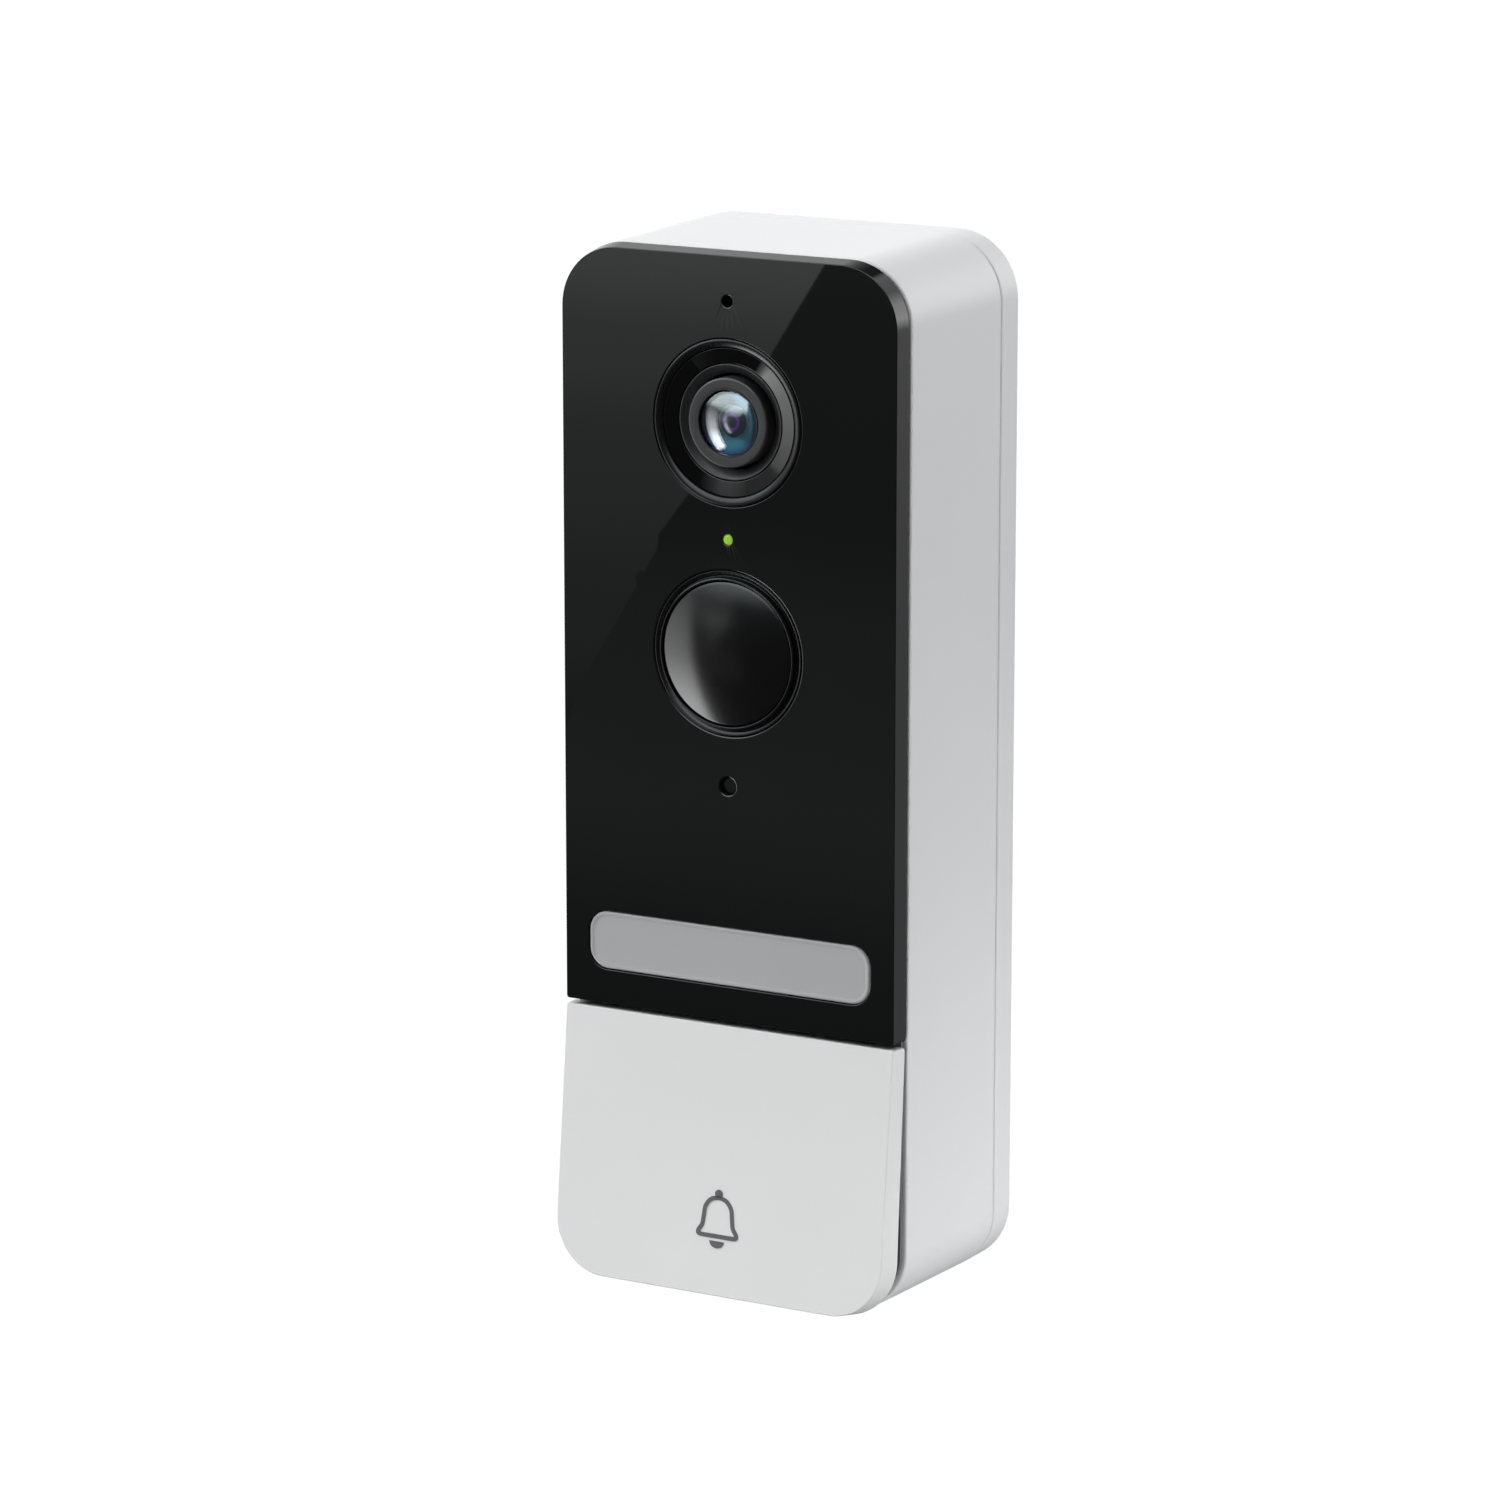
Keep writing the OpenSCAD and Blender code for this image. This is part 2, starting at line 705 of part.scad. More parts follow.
module port_cover() {
  color(rubber_grey) {
    block(port_x - 7, port_x + 7, port_y - 5, port_y + 5, -73.8, -72.9);
    block(port_x - 3.6, port_x + 3.6, port_y - 1.1, port_y + 0.9, -73, -71.6);
  }
}

// ---------- push button ----------

module button_plate() {
  color(shell_white) difference() {
    union() {
      leaning() difference() {
        union() {
          deep(edge_break, 7) button_outline(0);
          hull() {
            deep(0, 0.01) button_outline(edge_break);
            deep(edge_break, edge_break + 0.01) button_outline(0);
          }
        }
        deep(1.6, 9) button_outline(1.5);
        // rear edge, deeper towards the bottom
        translate([-40, panel_t - 0.1, 0.3]) rotate([2.3, 0, 0]) translate([0, 0, -60]) cube([80, 20, 80]);
      }
      for (s = [-1, 1]) {
        axle(1.9, s * lug_x - 1.5, s * lug_x + 1.5, pivot_y, pivot_z);
        block(s * lug_x - 1.5, s * lug_x + 1.5, -33, pivot_y, pivot_z - 1.9, pivot_z + 1.9);
      }
      rod(1.5, -35.6, -31.35, 0, switch_z);
      for (s = [-1, 1]) rod(1.4, -35.8, -33.4, s * spring_x, spring_z);
    }
    for (s = [-1, 1]) axle(1.06, s * lug_x - 3, s * lug_x + 3, pivot_y, pivot_z);
    block(-40, 40, -33.9, -20, button_top, 0);
  }
}

// Plain outlined bell, printed on the plate
module bell_icon() {
  color([0.36, 0.37, 0.38]) leaning() translate([0, 0, -27.4]) deep(-0.08, 0) {
    difference() {
      union() {
        translate([0, 0.9]) circle(2.35);
        polygon([[-2.35, 0.9], [2.35, 0.9], [2.5, -1.2], [3.35, -2.6], [-3.35, -2.6], [-2.5, -1.2]]);
      }
      union() {
        translate([0, 0.9]) circle(1.75);
        polygon([[-1.75, 1], [1.75, 1], [1.9, -1.1], [2.4, -2], [-2.4, -2], [-1.9, -1.1]]);
      }
    }
    translate([0, 3.5]) circle(0.62);
    difference() {
      translate([0, -2.9]) circle(1.35);
      translate([-3, -3.2]) square([6, 3]);
    }
  }
}

module button_pins() {
  color(steel) for (s = [-1, 1]) axle(1, s * lug_x - 4, s * lug_x + 4, pivot_y, pivot_z);
}

// Closed tube of wire wound along a helix that rises with z.
module coil(radius, wire, rise, turns, per_turn, sides) {
  n = floor(turns * per_turn);
  rings = [for (i = [0:n], k = [0:sides - 1]) let (
    a = 360 * i / per_turn,
    b = 360 * k / sides,
    q = radius + wire * cos(b)
  ) [q * cos(a), q * sin(a), rise * i / n + wire * sin(b)]];
  walls = [for (i = [0:n - 1], k = [0:sides - 1]) [i * sides + k, i * sides + (k + 1) % sides,
    (i + 1) * sides + (k + 1) % sides, (i + 1) * sides + k]];
  ends = [[for (k = [sides - 1:-1:0]) k], [for (k = [0:sides - 1]) n * sides + k]];
  polyhedron(rings, concat(walls, ends), convexity = 6);
}

module button_springs() {
  color(steel) for (s = [-1, 1]) {
    translate([s * spring_x, -31.32, spring_z]) rotate([90, 0, 0]) coil(2.1, 0.27, 3.5, 4, 14, 6);
  }
}

module switch_board() {
  color(board_green) difference() {
    slab(18, 23, 1, switch_board_front, switch_board_front + 1, 0, -56.5);
    for (p = switch_posts) rod(0.9, -30, -20, p[0], p[1]);
  }
}

module switch_body() {
  color(part_black) difference() {
    slab(6.2, 6.2, 0.4, -29.9, switch_board_front, 0, switch_z);
    rod(1.65, -31, -28, 0, switch_z);
  }
}

module switch_plunger() {
  color(rubber_grey) rod(1.6, -31.3, -29, 0, switch_z);
}

wall_bracket();
latch_clip();
latch_rivets();
housing();
rear_cover();
housing_seal();
cover_screws();
carrier_frame();
carrier_screws();
front_panel();
panel_tape();
lens_bezel();
lens_baffle();
lens_barrel();
lens_retainer();
lens_glass();
lens_iris();
lens_rear_element();
lens_holder();
image_sensor();
led_light_pipe();
status_led();
pir_bezel();
pir_dome();
pir_sensor();
daylight_window();
daylight_sensor();
foam_gaskets();
mic_board();
microphone();
light_bar();
spotlight_board();
spotlight_leds();
sensor_board();
main_board();
board_screws();
shield_cans();
antenna();
board_connectors();
flex_cable();
speaker_basket();
speaker_cone();
speaker_magnet();
battery_cells();
battery_holder();
battery_strips();
battery_leads();
io_board();
usb_socket();
reset_switch();
reset_button();
release_plunger();
port_cover();
button_plate();
bell_icon();
button_pins();
button_springs();
switch_board();
switch_body();
switch_plunger();
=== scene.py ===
"""Battery video doorbell: the looks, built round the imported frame."""
import json
import math

import bmesh
import bpy
from mathutils import Matrix, Vector


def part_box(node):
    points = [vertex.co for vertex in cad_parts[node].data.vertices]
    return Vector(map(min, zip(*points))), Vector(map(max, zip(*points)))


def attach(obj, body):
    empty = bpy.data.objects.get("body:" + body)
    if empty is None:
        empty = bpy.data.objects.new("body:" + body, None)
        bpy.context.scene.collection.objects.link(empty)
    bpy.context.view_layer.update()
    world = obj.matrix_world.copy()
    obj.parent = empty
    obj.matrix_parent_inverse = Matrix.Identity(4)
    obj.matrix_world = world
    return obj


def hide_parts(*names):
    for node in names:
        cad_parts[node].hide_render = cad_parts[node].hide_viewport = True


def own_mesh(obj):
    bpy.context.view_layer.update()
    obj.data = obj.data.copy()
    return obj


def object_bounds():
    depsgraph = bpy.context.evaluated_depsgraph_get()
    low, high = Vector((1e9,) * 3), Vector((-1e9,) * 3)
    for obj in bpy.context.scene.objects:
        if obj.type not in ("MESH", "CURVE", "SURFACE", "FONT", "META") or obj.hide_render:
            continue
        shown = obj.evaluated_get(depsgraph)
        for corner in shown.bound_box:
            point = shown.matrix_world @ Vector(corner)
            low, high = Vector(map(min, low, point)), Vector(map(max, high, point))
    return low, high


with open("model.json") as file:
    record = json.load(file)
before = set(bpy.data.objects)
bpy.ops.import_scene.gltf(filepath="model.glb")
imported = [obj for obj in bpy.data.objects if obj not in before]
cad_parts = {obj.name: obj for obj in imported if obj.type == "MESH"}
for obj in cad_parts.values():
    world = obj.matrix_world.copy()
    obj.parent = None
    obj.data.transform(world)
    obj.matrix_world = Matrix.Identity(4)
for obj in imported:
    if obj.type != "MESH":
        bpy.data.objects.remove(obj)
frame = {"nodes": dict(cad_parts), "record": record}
cad_box = [list(map(float, corner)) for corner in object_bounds()]
MM = 0.001


def limits(node):
    """A CAD node's box in millimetres: x0, x1, y0, y1, z0, z1."""
    lo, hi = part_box(node)
    return [v / MM for pair in zip(lo, hi) for v in pair]


def centre_z(node):
    z0, z1 = limits(node)[4:]
    return (z0 + z1) / 2


# ---------------------------------------------------------------- materials

def socket(node, *names):
    for name in names:
        if name in node.inputs:
            return node.inputs[name]
    raise KeyError(names)


def plastic(name, color, rough=0.4, grain=0.02, grain_scale=2600, mottle=0.04, spec=0.5, metal=0.0, coat=0.0,
            coat_rough=0.05, streak=0.0):
    """Moulded or metal surface: fine grain in the normal, slow change in colour and in gloss."""
    m = bpy.data.materials.new(name)
    m.use_nodes = True
    nt = m.node_tree
    b = nt.nodes["Principled BSDF"]
    socket(b, "Metallic").default_value = metal
    socket(b, "Specular IOR Level").default_value = spec
    socket(b, "Coat Weight").default_value = coat
    socket(b, "Coat Roughness").default_value = coat_rough
    at = nt.nodes.new("ShaderNodeTexCoord")
    slow = nt.nodes.new("ShaderNodeTexNoise")
    slow.inputs["Scale"].default_value = 55
    slow.inputs["Detail"].default_value = 3
    nt.links.new(at.outputs["Object"], slow.inputs["Vector"])
    ramp = nt.nodes.new("ShaderNodeValToRGB")
    ramp.color_ramp.elements[0].position = 0.3
    ramp.color_ramp.elements[1].position = 0.7
    ramp.color_ramp.elements[0].color = [c * (1 - mottle) for c in color] + [1]
    ramp.color_ramp.elements[1].color = [min(1, c * (1 + mottle)) for c in color] + [1]
    nt.links.new(slow.outputs["Fac"], ramp.inputs["Fac"])
    nt.links.new(ramp.outputs["Color"], b.inputs["Base Color"])
    gloss = nt.nodes.new("ShaderNodeMapRange")
    gloss.inputs["To Min"].default_value = rough * 0.9
    gloss.inputs["To Max"].default_value = rough * 1.12
    nt.links.new(slow.outputs["Fac"], gloss.inputs["Value"])
    nt.links.new(gloss.outputs["Result"], b.inputs["Roughness"])
    if grain:
        fine = nt.nodes.new("ShaderNodeTexNoise")
        fine.inputs["Scale"].default_value = grain_scale
        fine.inputs["Detail"].default_value = 2
        if streak:
            turn = nt.nodes.new("ShaderNodeMapping")
            turn.inputs["Scale"].default_value = (1, 1, streak)
            nt.links.new(at.outputs["Object"], turn.inputs["Vector"])
            nt.links.new(turn.outputs["Vector"], fine.inputs["Vector"])
        else:
            nt.links.new(at.outputs["Object"], fine.inputs["Vector"])
        bump = nt.nodes.new("ShaderNodeBump")
        bump.inputs["Strength"].default_value = grain
        bump.inputs["Distance"].default_value = 0.00005
        nt.links.new(fine.outputs["Fac"], bump.inputs["Height"])
        nt.links.new(bump.outputs["Normal"], b.inputs["Normal"])
    return m


def glowing(name, color, strength):
    m = plastic(name, [c * 0.25 for c in color], rough=0.25, grain=0)
    b = m.node_tree.nodes["Principled BSDF"]
    socket(b, "Emission Color").default_value = (*color, 1)
    socket(b, "Emission Strength").default_value = strength
    return m


WHITE = plastic("shell_white", (0.80, 0.81, 0.825), rough=0.42, grain=0.10, grain_scale=3200, mottle=0.008, spec=0.35)
PLATE = plastic("plate_white", (0.82, 0.82, 0.825), rough=0.40, grain=0.08, grain_scale=3200, mottle=0.008)
GLOSS = plastic("panel_gloss_black", (0.0045, 0.005, 0.005), rough=0.015, grain=0.0, mottle=0.05, spec=0.5)
SATIN = plastic("bezel_satin_black", (0.004, 0.004, 0.0042), rough=0.22, grain=0.05, mottle=0.06, spec=0.32)
MATT = plastic("black_moulding", (0.02, 0.02, 0.021), rough=0.5, grain=0.12, mottle=0.08)
BARREL = plastic("barrel_grey", (0.036, 0.036, 0.037), rough=0.36, grain=0.06, mottle=0.05)
FRAME = plastic("frame_grey", (0.19, 0.192, 0.195), rough=0.5, grain=0.15, mottle=0.06)
BRACKET = plastic("bracket_grey", (0.14, 0.143, 0.147), rough=0.55, grain=0.35, grain_scale=1900, mottle=0.06)
DIFFUSER = plastic("bar_frosted", (0.425, 0.43, 0.435), rough=0.5, grain=0.05, mottle=0.02)
PRINT = plastic("print_grey", (0.105, 0.11, 0.112), rough=0.5, grain=0.2, mottle=0.05)
RUBBER = plastic("rubber_grey", (0.16, 0.163, 0.168), rough=0.7, grain=0.3, grain_scale=2200, mottle=0.08)
STEEL = plastic("plated_steel", (0.62, 0.63, 0.65), rough=0.28, grain=0.2, grain_scale=900, mottle=0.05, metal=1,
                streak=12)
GOLD = plastic("gold_plate", (0.80, 0.58, 0.25), rough=0.26, grain=0.15, mottle=0.05, metal=1)
BOARD = plastic("solder_mask", (0.012, 0.10, 0.05), rough=0.3, grain=0.3, grain_scale=800, mottle=0.25)
PALE_BOARD = plastic("white_mask", (0.75, 0.75, 0.73), rough=0.35, grain=0.2, grain_scale=900, mottle=0.04)
IVORY = plastic("connector_ivory", (0.72, 0.68, 0.56), rough=0.5, grain=0.15, mottle=0.05)
FILM = plastic("amber_film", (0.50, 0.22, 0.04), rough=0.25, grain=0.1, mottle=0.15)
WRAP = plastic("cell_wrap", (0.03, 0.12, 0.28), rough=0.3, grain=0.15, grain_scale=600, mottle=0.10)
WIRE = plastic("wire_red", (0.42, 0.02, 0.015), rough=0.45, grain=0.1, mottle=0.06)
PHOSPHOR = plastic("led_phosphor", (0.85, 0.66, 0.12), rough=0.35, grain=0.1, mottle=0.05)
SILICON = plastic("sensor_silicon", (0.05, 0.06, 0.12), rough=0.12, grain=0.05, mottle=0.2)
GREEN = glowing("status_green", (0.26, 0.50, 0.035), 0.85)

LOOK = {
    "white_shell": WHITE, "gloss_black": GLOSS, "matt_black": MATT, "dark_plastic": FRAME,
    "bracket_plastic": BRACKET, "frosted_diffuser": DIFFUSER, "sensor_silicon": SILICON,
    "green_light": GREEN, "grey_rubber": RUBBER, "bright_steel": STEEL, "gold_metal": GOLD,
    "circuit_board": BOARD, "white_board": PALE_BOARD, "yellow_phosphor": PHOSPHOR,
    "ivory_plastic": IVORY, "amber_film": FILM, "blue_wrap": WRAP, "red_wire": WIRE, "grey_print": PRINT,
}

# ---------------------------------------------------------------- mesh helpers


def rounded(x0, x1, z0, z1, top, bottom, n=14):
    """Rounded rectangle in X and Z, anticlockwise from the right of the top right corner."""
    corners = [(x1 - top, z1 - top, 0, top), (x0 + top, z1 - top, 90, top),
               (x0 + bottom, z0 + bottom, 180, bottom), (x1 - bottom, z0 + bottom, 270, bottom)]
    return [(cx + r * math.cos(math.radians(a + 90 * i / n)), cz + r * math.sin(math.radians(a + 90 * i / n)))
            for cx, cz, a, r in corners for i in range(n + 1)]


def circle(r, z, n=96, x=0.0):
    return [(x + r * math.cos(2 * math.pi * i / n), z + r * math.sin(2 * math.pi * i / n)) for i in range(n)]


def add_loop(bm, outline, y):
    """One ring of vertices; y is a number or a function of x and z."""
    depth = y if callable(y) else (lambda x, z: y)
    return [bm.verts.new((x, depth(x, z), z)) for x, z in outline]


def bridge(bm, rings, closed=False):
    pairs = list(zip(rings, rings[1:])) + ([(rings[-1], rings[0])] if closed else [])
    for a, b in pairs:
        for i in range(len(a)):
            j = (i + 1) % len(a)
            bm.faces.new((a[i], a[j], b[j], b[i]))


def cap(bm, *rings):
    """Flat face between an outer ring and any holes."""
    edges = []
    for ring in rings:
        for i in range(len(ring)):
            pair = (ring[i], ring[(i + 1) % len(ring)])
            edges.append(bm.edges.get(pair) or bm.edges.new(pair))
    if len(rings) == 1:
        bm.faces.new(rings[0])
    else:
        bmesh.ops.triangle_fill(bm, use_beauty=True, edges=edges)


def edge_arc(width, steps=5):
    """(inset, rise) pairs of a quarter round, from the side wall to the face."""
    return [(width * (1 - math.cos(math.pi / 2 * i / steps)), width * (1 - math.sin(math.pi / 2 * i / steps)))
            for i in range(steps + 1)]


def finish_mesh(name, bm, material, body, slot=None, stands_for=(), sharp=32, weighted=True, place=None):
    if place is not None:
        bmesh.ops.transform(bm, matrix=place, verts=bm.verts)
    bmesh.ops.scale(bm, vec=(MM, MM, MM), verts=bm.verts)
    bmesh.ops.remove_doubles(bm, verts=bm.verts, dist=1e-8)
    bmesh.ops.recalc_face_normals(bm, faces=bm.faces)
    mesh = bpy.data.meshes.new(name)
    bm.to_mesh(mesh)
    bm.free()
    return finish_object(name, mesh, material, body, stands_for, sharp, weighted)


def finish_object(name, mesh, material, body, stands_for, sharp, weighted=True):
    for polygon in mesh.polygons:
        polygon.use_smooth = True
    mesh.set_sharp_from_angle(angle=math.radians(sharp))
    mesh.materials.clear()
    mesh.materials.append(material)
    o = bpy.data.objects.new(name, mesh)
    bpy.context.scene.collection.objects.link(o)
    if weighted:
        w = o.modifiers.new("weighted", "WEIGHTED_NORMAL")
        w.keep_sharp = True
    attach(o, body)
    if stands_for:
        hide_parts(*stands_for)
    return o


def soften(profile, r, steps=4):
    """Rounds the corners of a closed profile by up to r."""
    out = []
    n = len(profile)
    for i in range(n):
        p, q, s = (Vector(profile[k]) for k in ((i - 1) % n, i, (i + 1) % n))
        a, b = p - q, s - q
        turn = abs(math.pi - a.angle(b)) if a.length and b.length else 0
        reach = min(r, a.length * 0.45, b.length * 0.45)
        if turn < math.radians(25) or q.x < 1e-6:
            out.append(tuple(q))
            continue
        start, end = q + a.normalized() * reach, q + b.normalized() * reach
        for k in range(steps + 1):
            t = k / steps
            out.append(tuple(start * (1 - t) ** 2 + q * (2 * t * (1 - t)) + end * t ** 2))
    return out


def turned(name, profile, z, material, body="doorbell", soft=0.08, n=112, x=0.0, **kw):
    """A piece turned about an axis along Y through (x, z); profile is a closed list of (radius, y)."""
    bm = bmesh.new()
    spin(bm, soften(profile, soft) if soft else profile, z, n, x)
    return finish_mesh(name, bm, material, body, **kw)


def spin(bm, profile, z, n=64, x=0.0):
    rings = []
    for r, y in profile:
        if r < 1e-6:
            rings.append([bm.verts.new((x, y, z))])
        else:
            rings.append([bm.verts.new((px, y, pz)) for px, pz in circle(r, z, n, x)])
    for a, b in zip(rings, rings[1:] + rings[:1]):
        if len(a) == 1 and len(b) == 1:
            continue
        for i in range(n):
            j = (i + 1) % n
            if len(a) == 1:
                bm.faces.new((a[0], b[j], b[i]))
            elif len(b) == 1:
                bm.faces.new((a[i], a[j], b[0]))
            else:
                bm.faces.new((a[i], a[j], b[j], b[i]))


def cutter(bm, name):
    bmesh.ops.scale(bm, vec=(MM, MM, MM), verts=bm.verts)
    bmesh.ops.recalc_face_normals(bm, faces=bm.faces)
    mesh = bpy.data.meshes.new(name)
    bm.to_mesh(mesh)
    bm.free()
    return bpy.data.objects.new(name, mesh)


def carved(bm, cutters, joined=()):
    """The mesh of bm less the cutters and with the joined pieces, as a new mesh in metres."""
    bmesh.ops.scale(bm, vec=(MM, MM, MM), verts=bm.verts)
    bmesh.ops.recalc_face_normals(bm, faces=bm.faces)
    mesh = bpy.data.meshes.new("blank")
    bm.to_mesh(mesh)
    bm.free()
    o = bpy.data.objects.new("blank", mesh)
    bpy.context.scene.collection.objects.link(o)
    for kind, others in (("UNION", joined), ("DIFFERENCE", cutters)):
        for other in others:
            bpy.context.scene.collection.objects.link(other)
            mod = o.modifiers.new("bool", "BOOLEAN")
            mod.operation, mod.object, mod.solver = kind, other, "EXACT"
    bpy.context.view_layer.update()
    result = bpy.data.meshes.new_from_object(o.evaluated_get(bpy.context.evaluated_depsgraph_get()))
    for other in [*joined, *cutters, o]:
        bpy.data.objects.remove(other)
    return result


def along_z(bm, x, y, z0, z1, r, n=40):
    """Round rod along Z."""
    rings = [[bm.verts.new((x + r * math.cos(2 * math.pi * i / n), y + r * math.sin(2 * math.pi * i / n), z))
              for i in range(n)] for z in (z0, z1)]
    bridge(bm, rings)
    cap(bm, rings[0])
    cap(bm, rings[1])


def along_x(bm, y, z, x0, x1, r, n=32):
    rings = [[bm.verts.new((x, y + r * math.cos(2 * math.pi * i / n), z + r * math.sin(2 * math.pi * i / n)))
              for i in range(n)] for x in (x0, x1)]
    bridge(bm, rings)
    cap(bm, rings[0])
    cap(bm, rings[1])


def block(bm, x0, x1, y0, y1, z0, z1):
    rings = [add_loop(bm, [(x0, z0), (x1, z0), (x1, z1), (x0, z1)], y) for y in (y0, y1)]
    bridge(bm, rings)
    cap(bm, rings[0])
    cap(bm, rings[1])


# ---------------------------------------------------------------- main sizes, from the frame

_, HALF_W, RIM_Y, SEAM_Y, _, HALF_H = limits("housing")
P_X0, P_X1, FACE_Y, PANEL_BACK, PANEL_LOW, PANEL_TOP = limits("front_panel")
COVER_BACK = limits("rear_cover")[3]
CORNER = 9.3
DRAFT = HALF_W - P_X1
PANEL_R = CORNER - 0.4
SLOPE = 0.42  # how far the side walls of the panel and the push plate lean in towards their faces
LENS_Z = centre_z("lens_barrel")
PIR_Z = centre_z("pir_dome")
LED_Z = centre_z("led_light_pipe")
DAY_Z = centre_z("daylight_window")
MIC_Z = centre_z("mic_board")
BAR = limits("light_bar")
BAR_Z = (BAR[4] + BAR[5]) / 2
WALL = 2.4
BEZEL_R = limits("lens_bezel")[1]


def shell_outline(e, n=14):
    """Outline of the body at the seam, pulled in by e."""
    return rounded(-HALF_W + e, HALF_W - e, -HALF_H + e, HALF_H - e, CORNER - e, CORNER - e, n)


def lerp(a, b, t):
    return a + (b - a) * t


# ---------------------------------------------------------------- housing

def front_outline(e, n=14):
    """Outline of the housing's front rim, pulled in by e."""
    w, h, r = HALF_W - DRAFT, HALF_H - 0.6, PANEL_R
    return rounded(-w + e, w - e, -h + e, h - e, r - e, r - e, n)


def build_housing():
    bm = bmesh.new()
    rings = []
    wall_n = 14
    inner = lambda: rounded(-HALF_W + WALL, HALF_W - WALL, -HALF_H + 2.5, HALF_H - 2.5, 6.9, 6.9, wall_n)
    for y in (SEAM_Y - 0.02, -18, RIM_Y + 0.25):
        rings.append(add_loop(bm, inner(), y))
    rings.append(add_loop(bm, front_outline(1.9), RIM_Y + 0.02))
    for e, h in reversed(edge_arc(0.4, 5)):
        rings.append(add_loop(bm, front_outline(e), RIM_Y + h))
    for k in range(1, 8):
        t = k / 8
        a, b = front_outline(0), shell_outline(0)
        y = lerp(RIM_Y + 0.4, SEAM_Y - 0.4, t)
        rings.append(add_loop(bm, [(lerp(p[0], q[0], t), lerp(p[1], q[1], t)) for p, q in zip(a, b)], y))
    for e, h in edge_arc(0.3, 4):
        rings.append(add_loop(bm, shell_outline(e), SEAM_Y - h))
    rings.append(add_loop(bm, shell_outline(1.2), SEAM_Y - 0.02))
    bridge(bm, rings, closed=True)
    flap = limits("port_cover")
    reset, release = limits("reset_button"), limits("release_plunger")
    cutters = []
    c = bmesh.new()
    add_prism_z(c, flap[0] - 0.15, flap[1] + 0.15, flap[2] - 0.15, flap[3] + 0.15, -90, -72.75, 1.0)
    cutters.append(cutter(c, "cut_flap"))
    c = bmesh.new()
    x, y = (flap[0] + flap[1]) / 2, (flap[2] + flap[3]) / 2
    add_prism_z(c, x - 4.9, x + 4.9, y - 2.1, y + 2.1, -90, -70, 1.9)
    cutters.append(cutter(c, "cut_socket"))
    for hole, r in ((reset, 1.56), (release, 1.26)):
        c = bmesh.new()
        along_z(c, (hole[0] + hole[1]) / 2, (hole[2] + hole[3]) / 2, -90, -68, r)
        cutters.append(cutter(c, "cut_hole"))
    speaker = limits("speaker_basket")
    sy, sz = (speaker[2] + speaker[3]) / 2, (speaker[4] + speaker[5]) / 2
    for i in range(-2, 3):
        for j in range(-2, 3):
            if abs(i) + abs(j) < 4:
                c = bmesh.new()
                along_x(c, sy + 2.9 * j, sz + 2.9 * i, -40, -20, 0.8, 20)
                cutters.append(cutter(c, "cut_grille"))
    mesh = carved(bm, cutters)
    return finish_object("housing_shell", mesh, WHITE, "doorbell", ("housing",), 28)


def add_prism_z(bm, x0, x1, y0, y1, z0, z1, r, n=6):
    outline = rounded(x0, x1, y0, y1, r, r, n)
    rings = [[bm.verts.new((x, y, z)) for x, y in outline] for z in (z0, z1)]
    bridge(bm, rings)
    cap(bm, rings[0])
    cap(bm, rings[1])


build_housing()

# ---------------------------------------------------------------- rear cover


def build_rear_cover():
    bm = bmesh.new()
    front, back = SEAM_Y + 0.2, COVER_BACK
    inside = lambda e=0: rounded(-25 + e, 25 - e, -72 + e, 72 - e, 7.1 - e, 7.1 - e, 14)
    floor_front, floor_back = -4.6, -3.2
    outer = []
    for e, h in reversed(edge_arc(0.3, 4)):
        outer.append(add_loop(bm, shell_outline(e), front + h))
    for t in (0.33, 0.66):
        outer.append(add_loop(bm, shell_outline(0), lerp(front + 0.3, back - 0.5, t)))
    for e, h in edge_arc(0.4, 5):
        outer.append(add_loop(bm, shell_outline(e), back - h))
    pocket = [add_loop(bm, inside(e), y) for e, y in
              ((-0.2, back), (0, back - 0.2), (0, floor_back - 0.01), (0.3, floor_back - 0.01))]
    well = [add_loop(bm, inside(e), y) for e, y in ((0.3, floor_front), (0, floor_front), (0, front))]
    bridge(bm, outer + pocket)
    bridge(bm, well + [outer[0]])
    cap(bm, pocket[-1])
    cap(bm, well[0])
    # screw pads, screw holes and hook lips
    joined, cutters = [], []
    screws = limits("cover_screws")
    for sx in (-1, 1):
        for sz in (-1, 1):
            x, z = sx * (screws[1] - 2.1), sz * (screws[5] - 2.1)
            c = bmesh.new()
            pad_front, pad_back = front + 0.05, floor_back - 0.4
            spin(c, [(0, pad_front), (3.3, pad_front), (3.3, pad_back), (0, pad_back)], z, 40, x)
            joined.append(cutter(c, "pad"))
            c = bmesh.new()
            shaft = [(0, -8), (1.15, -8), (1.15, -4.7), (2.3, -4.7), (2.3, -3.4), (2.5, -3.1), (2.5, 1), (0, 1)]
            spin(c, shaft, z, 40, x)
            cutters.append(cutter(c, "screw_well"))
    for s in (-1, 1):
        c = bmesh.new()
        block(c, s * 13 - 5, s * 13 + 5, -1.2, back - 0.01, 69.25, 72.4)
        joined.append(cutter(c, "lip"))
    c = bmesh.new()
    block(c, -4.2, 4.2, -5.2, -3, -67.2, -63.5)
    cutters.append(cutter(c, "latch_slot"))
    mesh = carved(bm, cutters, joined)
    return finish_object("rear_cover_shell", mesh, WHITE, "doorbell", ("rear_cover",), 28)


build_rear_cover()

# ---------------------------------------------------------------- glossy front panel


def panel_outline(e):
    return rounded(P_X0 + e, P_X1 - e, PANEL_LOW + 0.4 * e, PANEL_TOP - e, PANEL_R - e, max(0.35, 0.6 - e), 16)


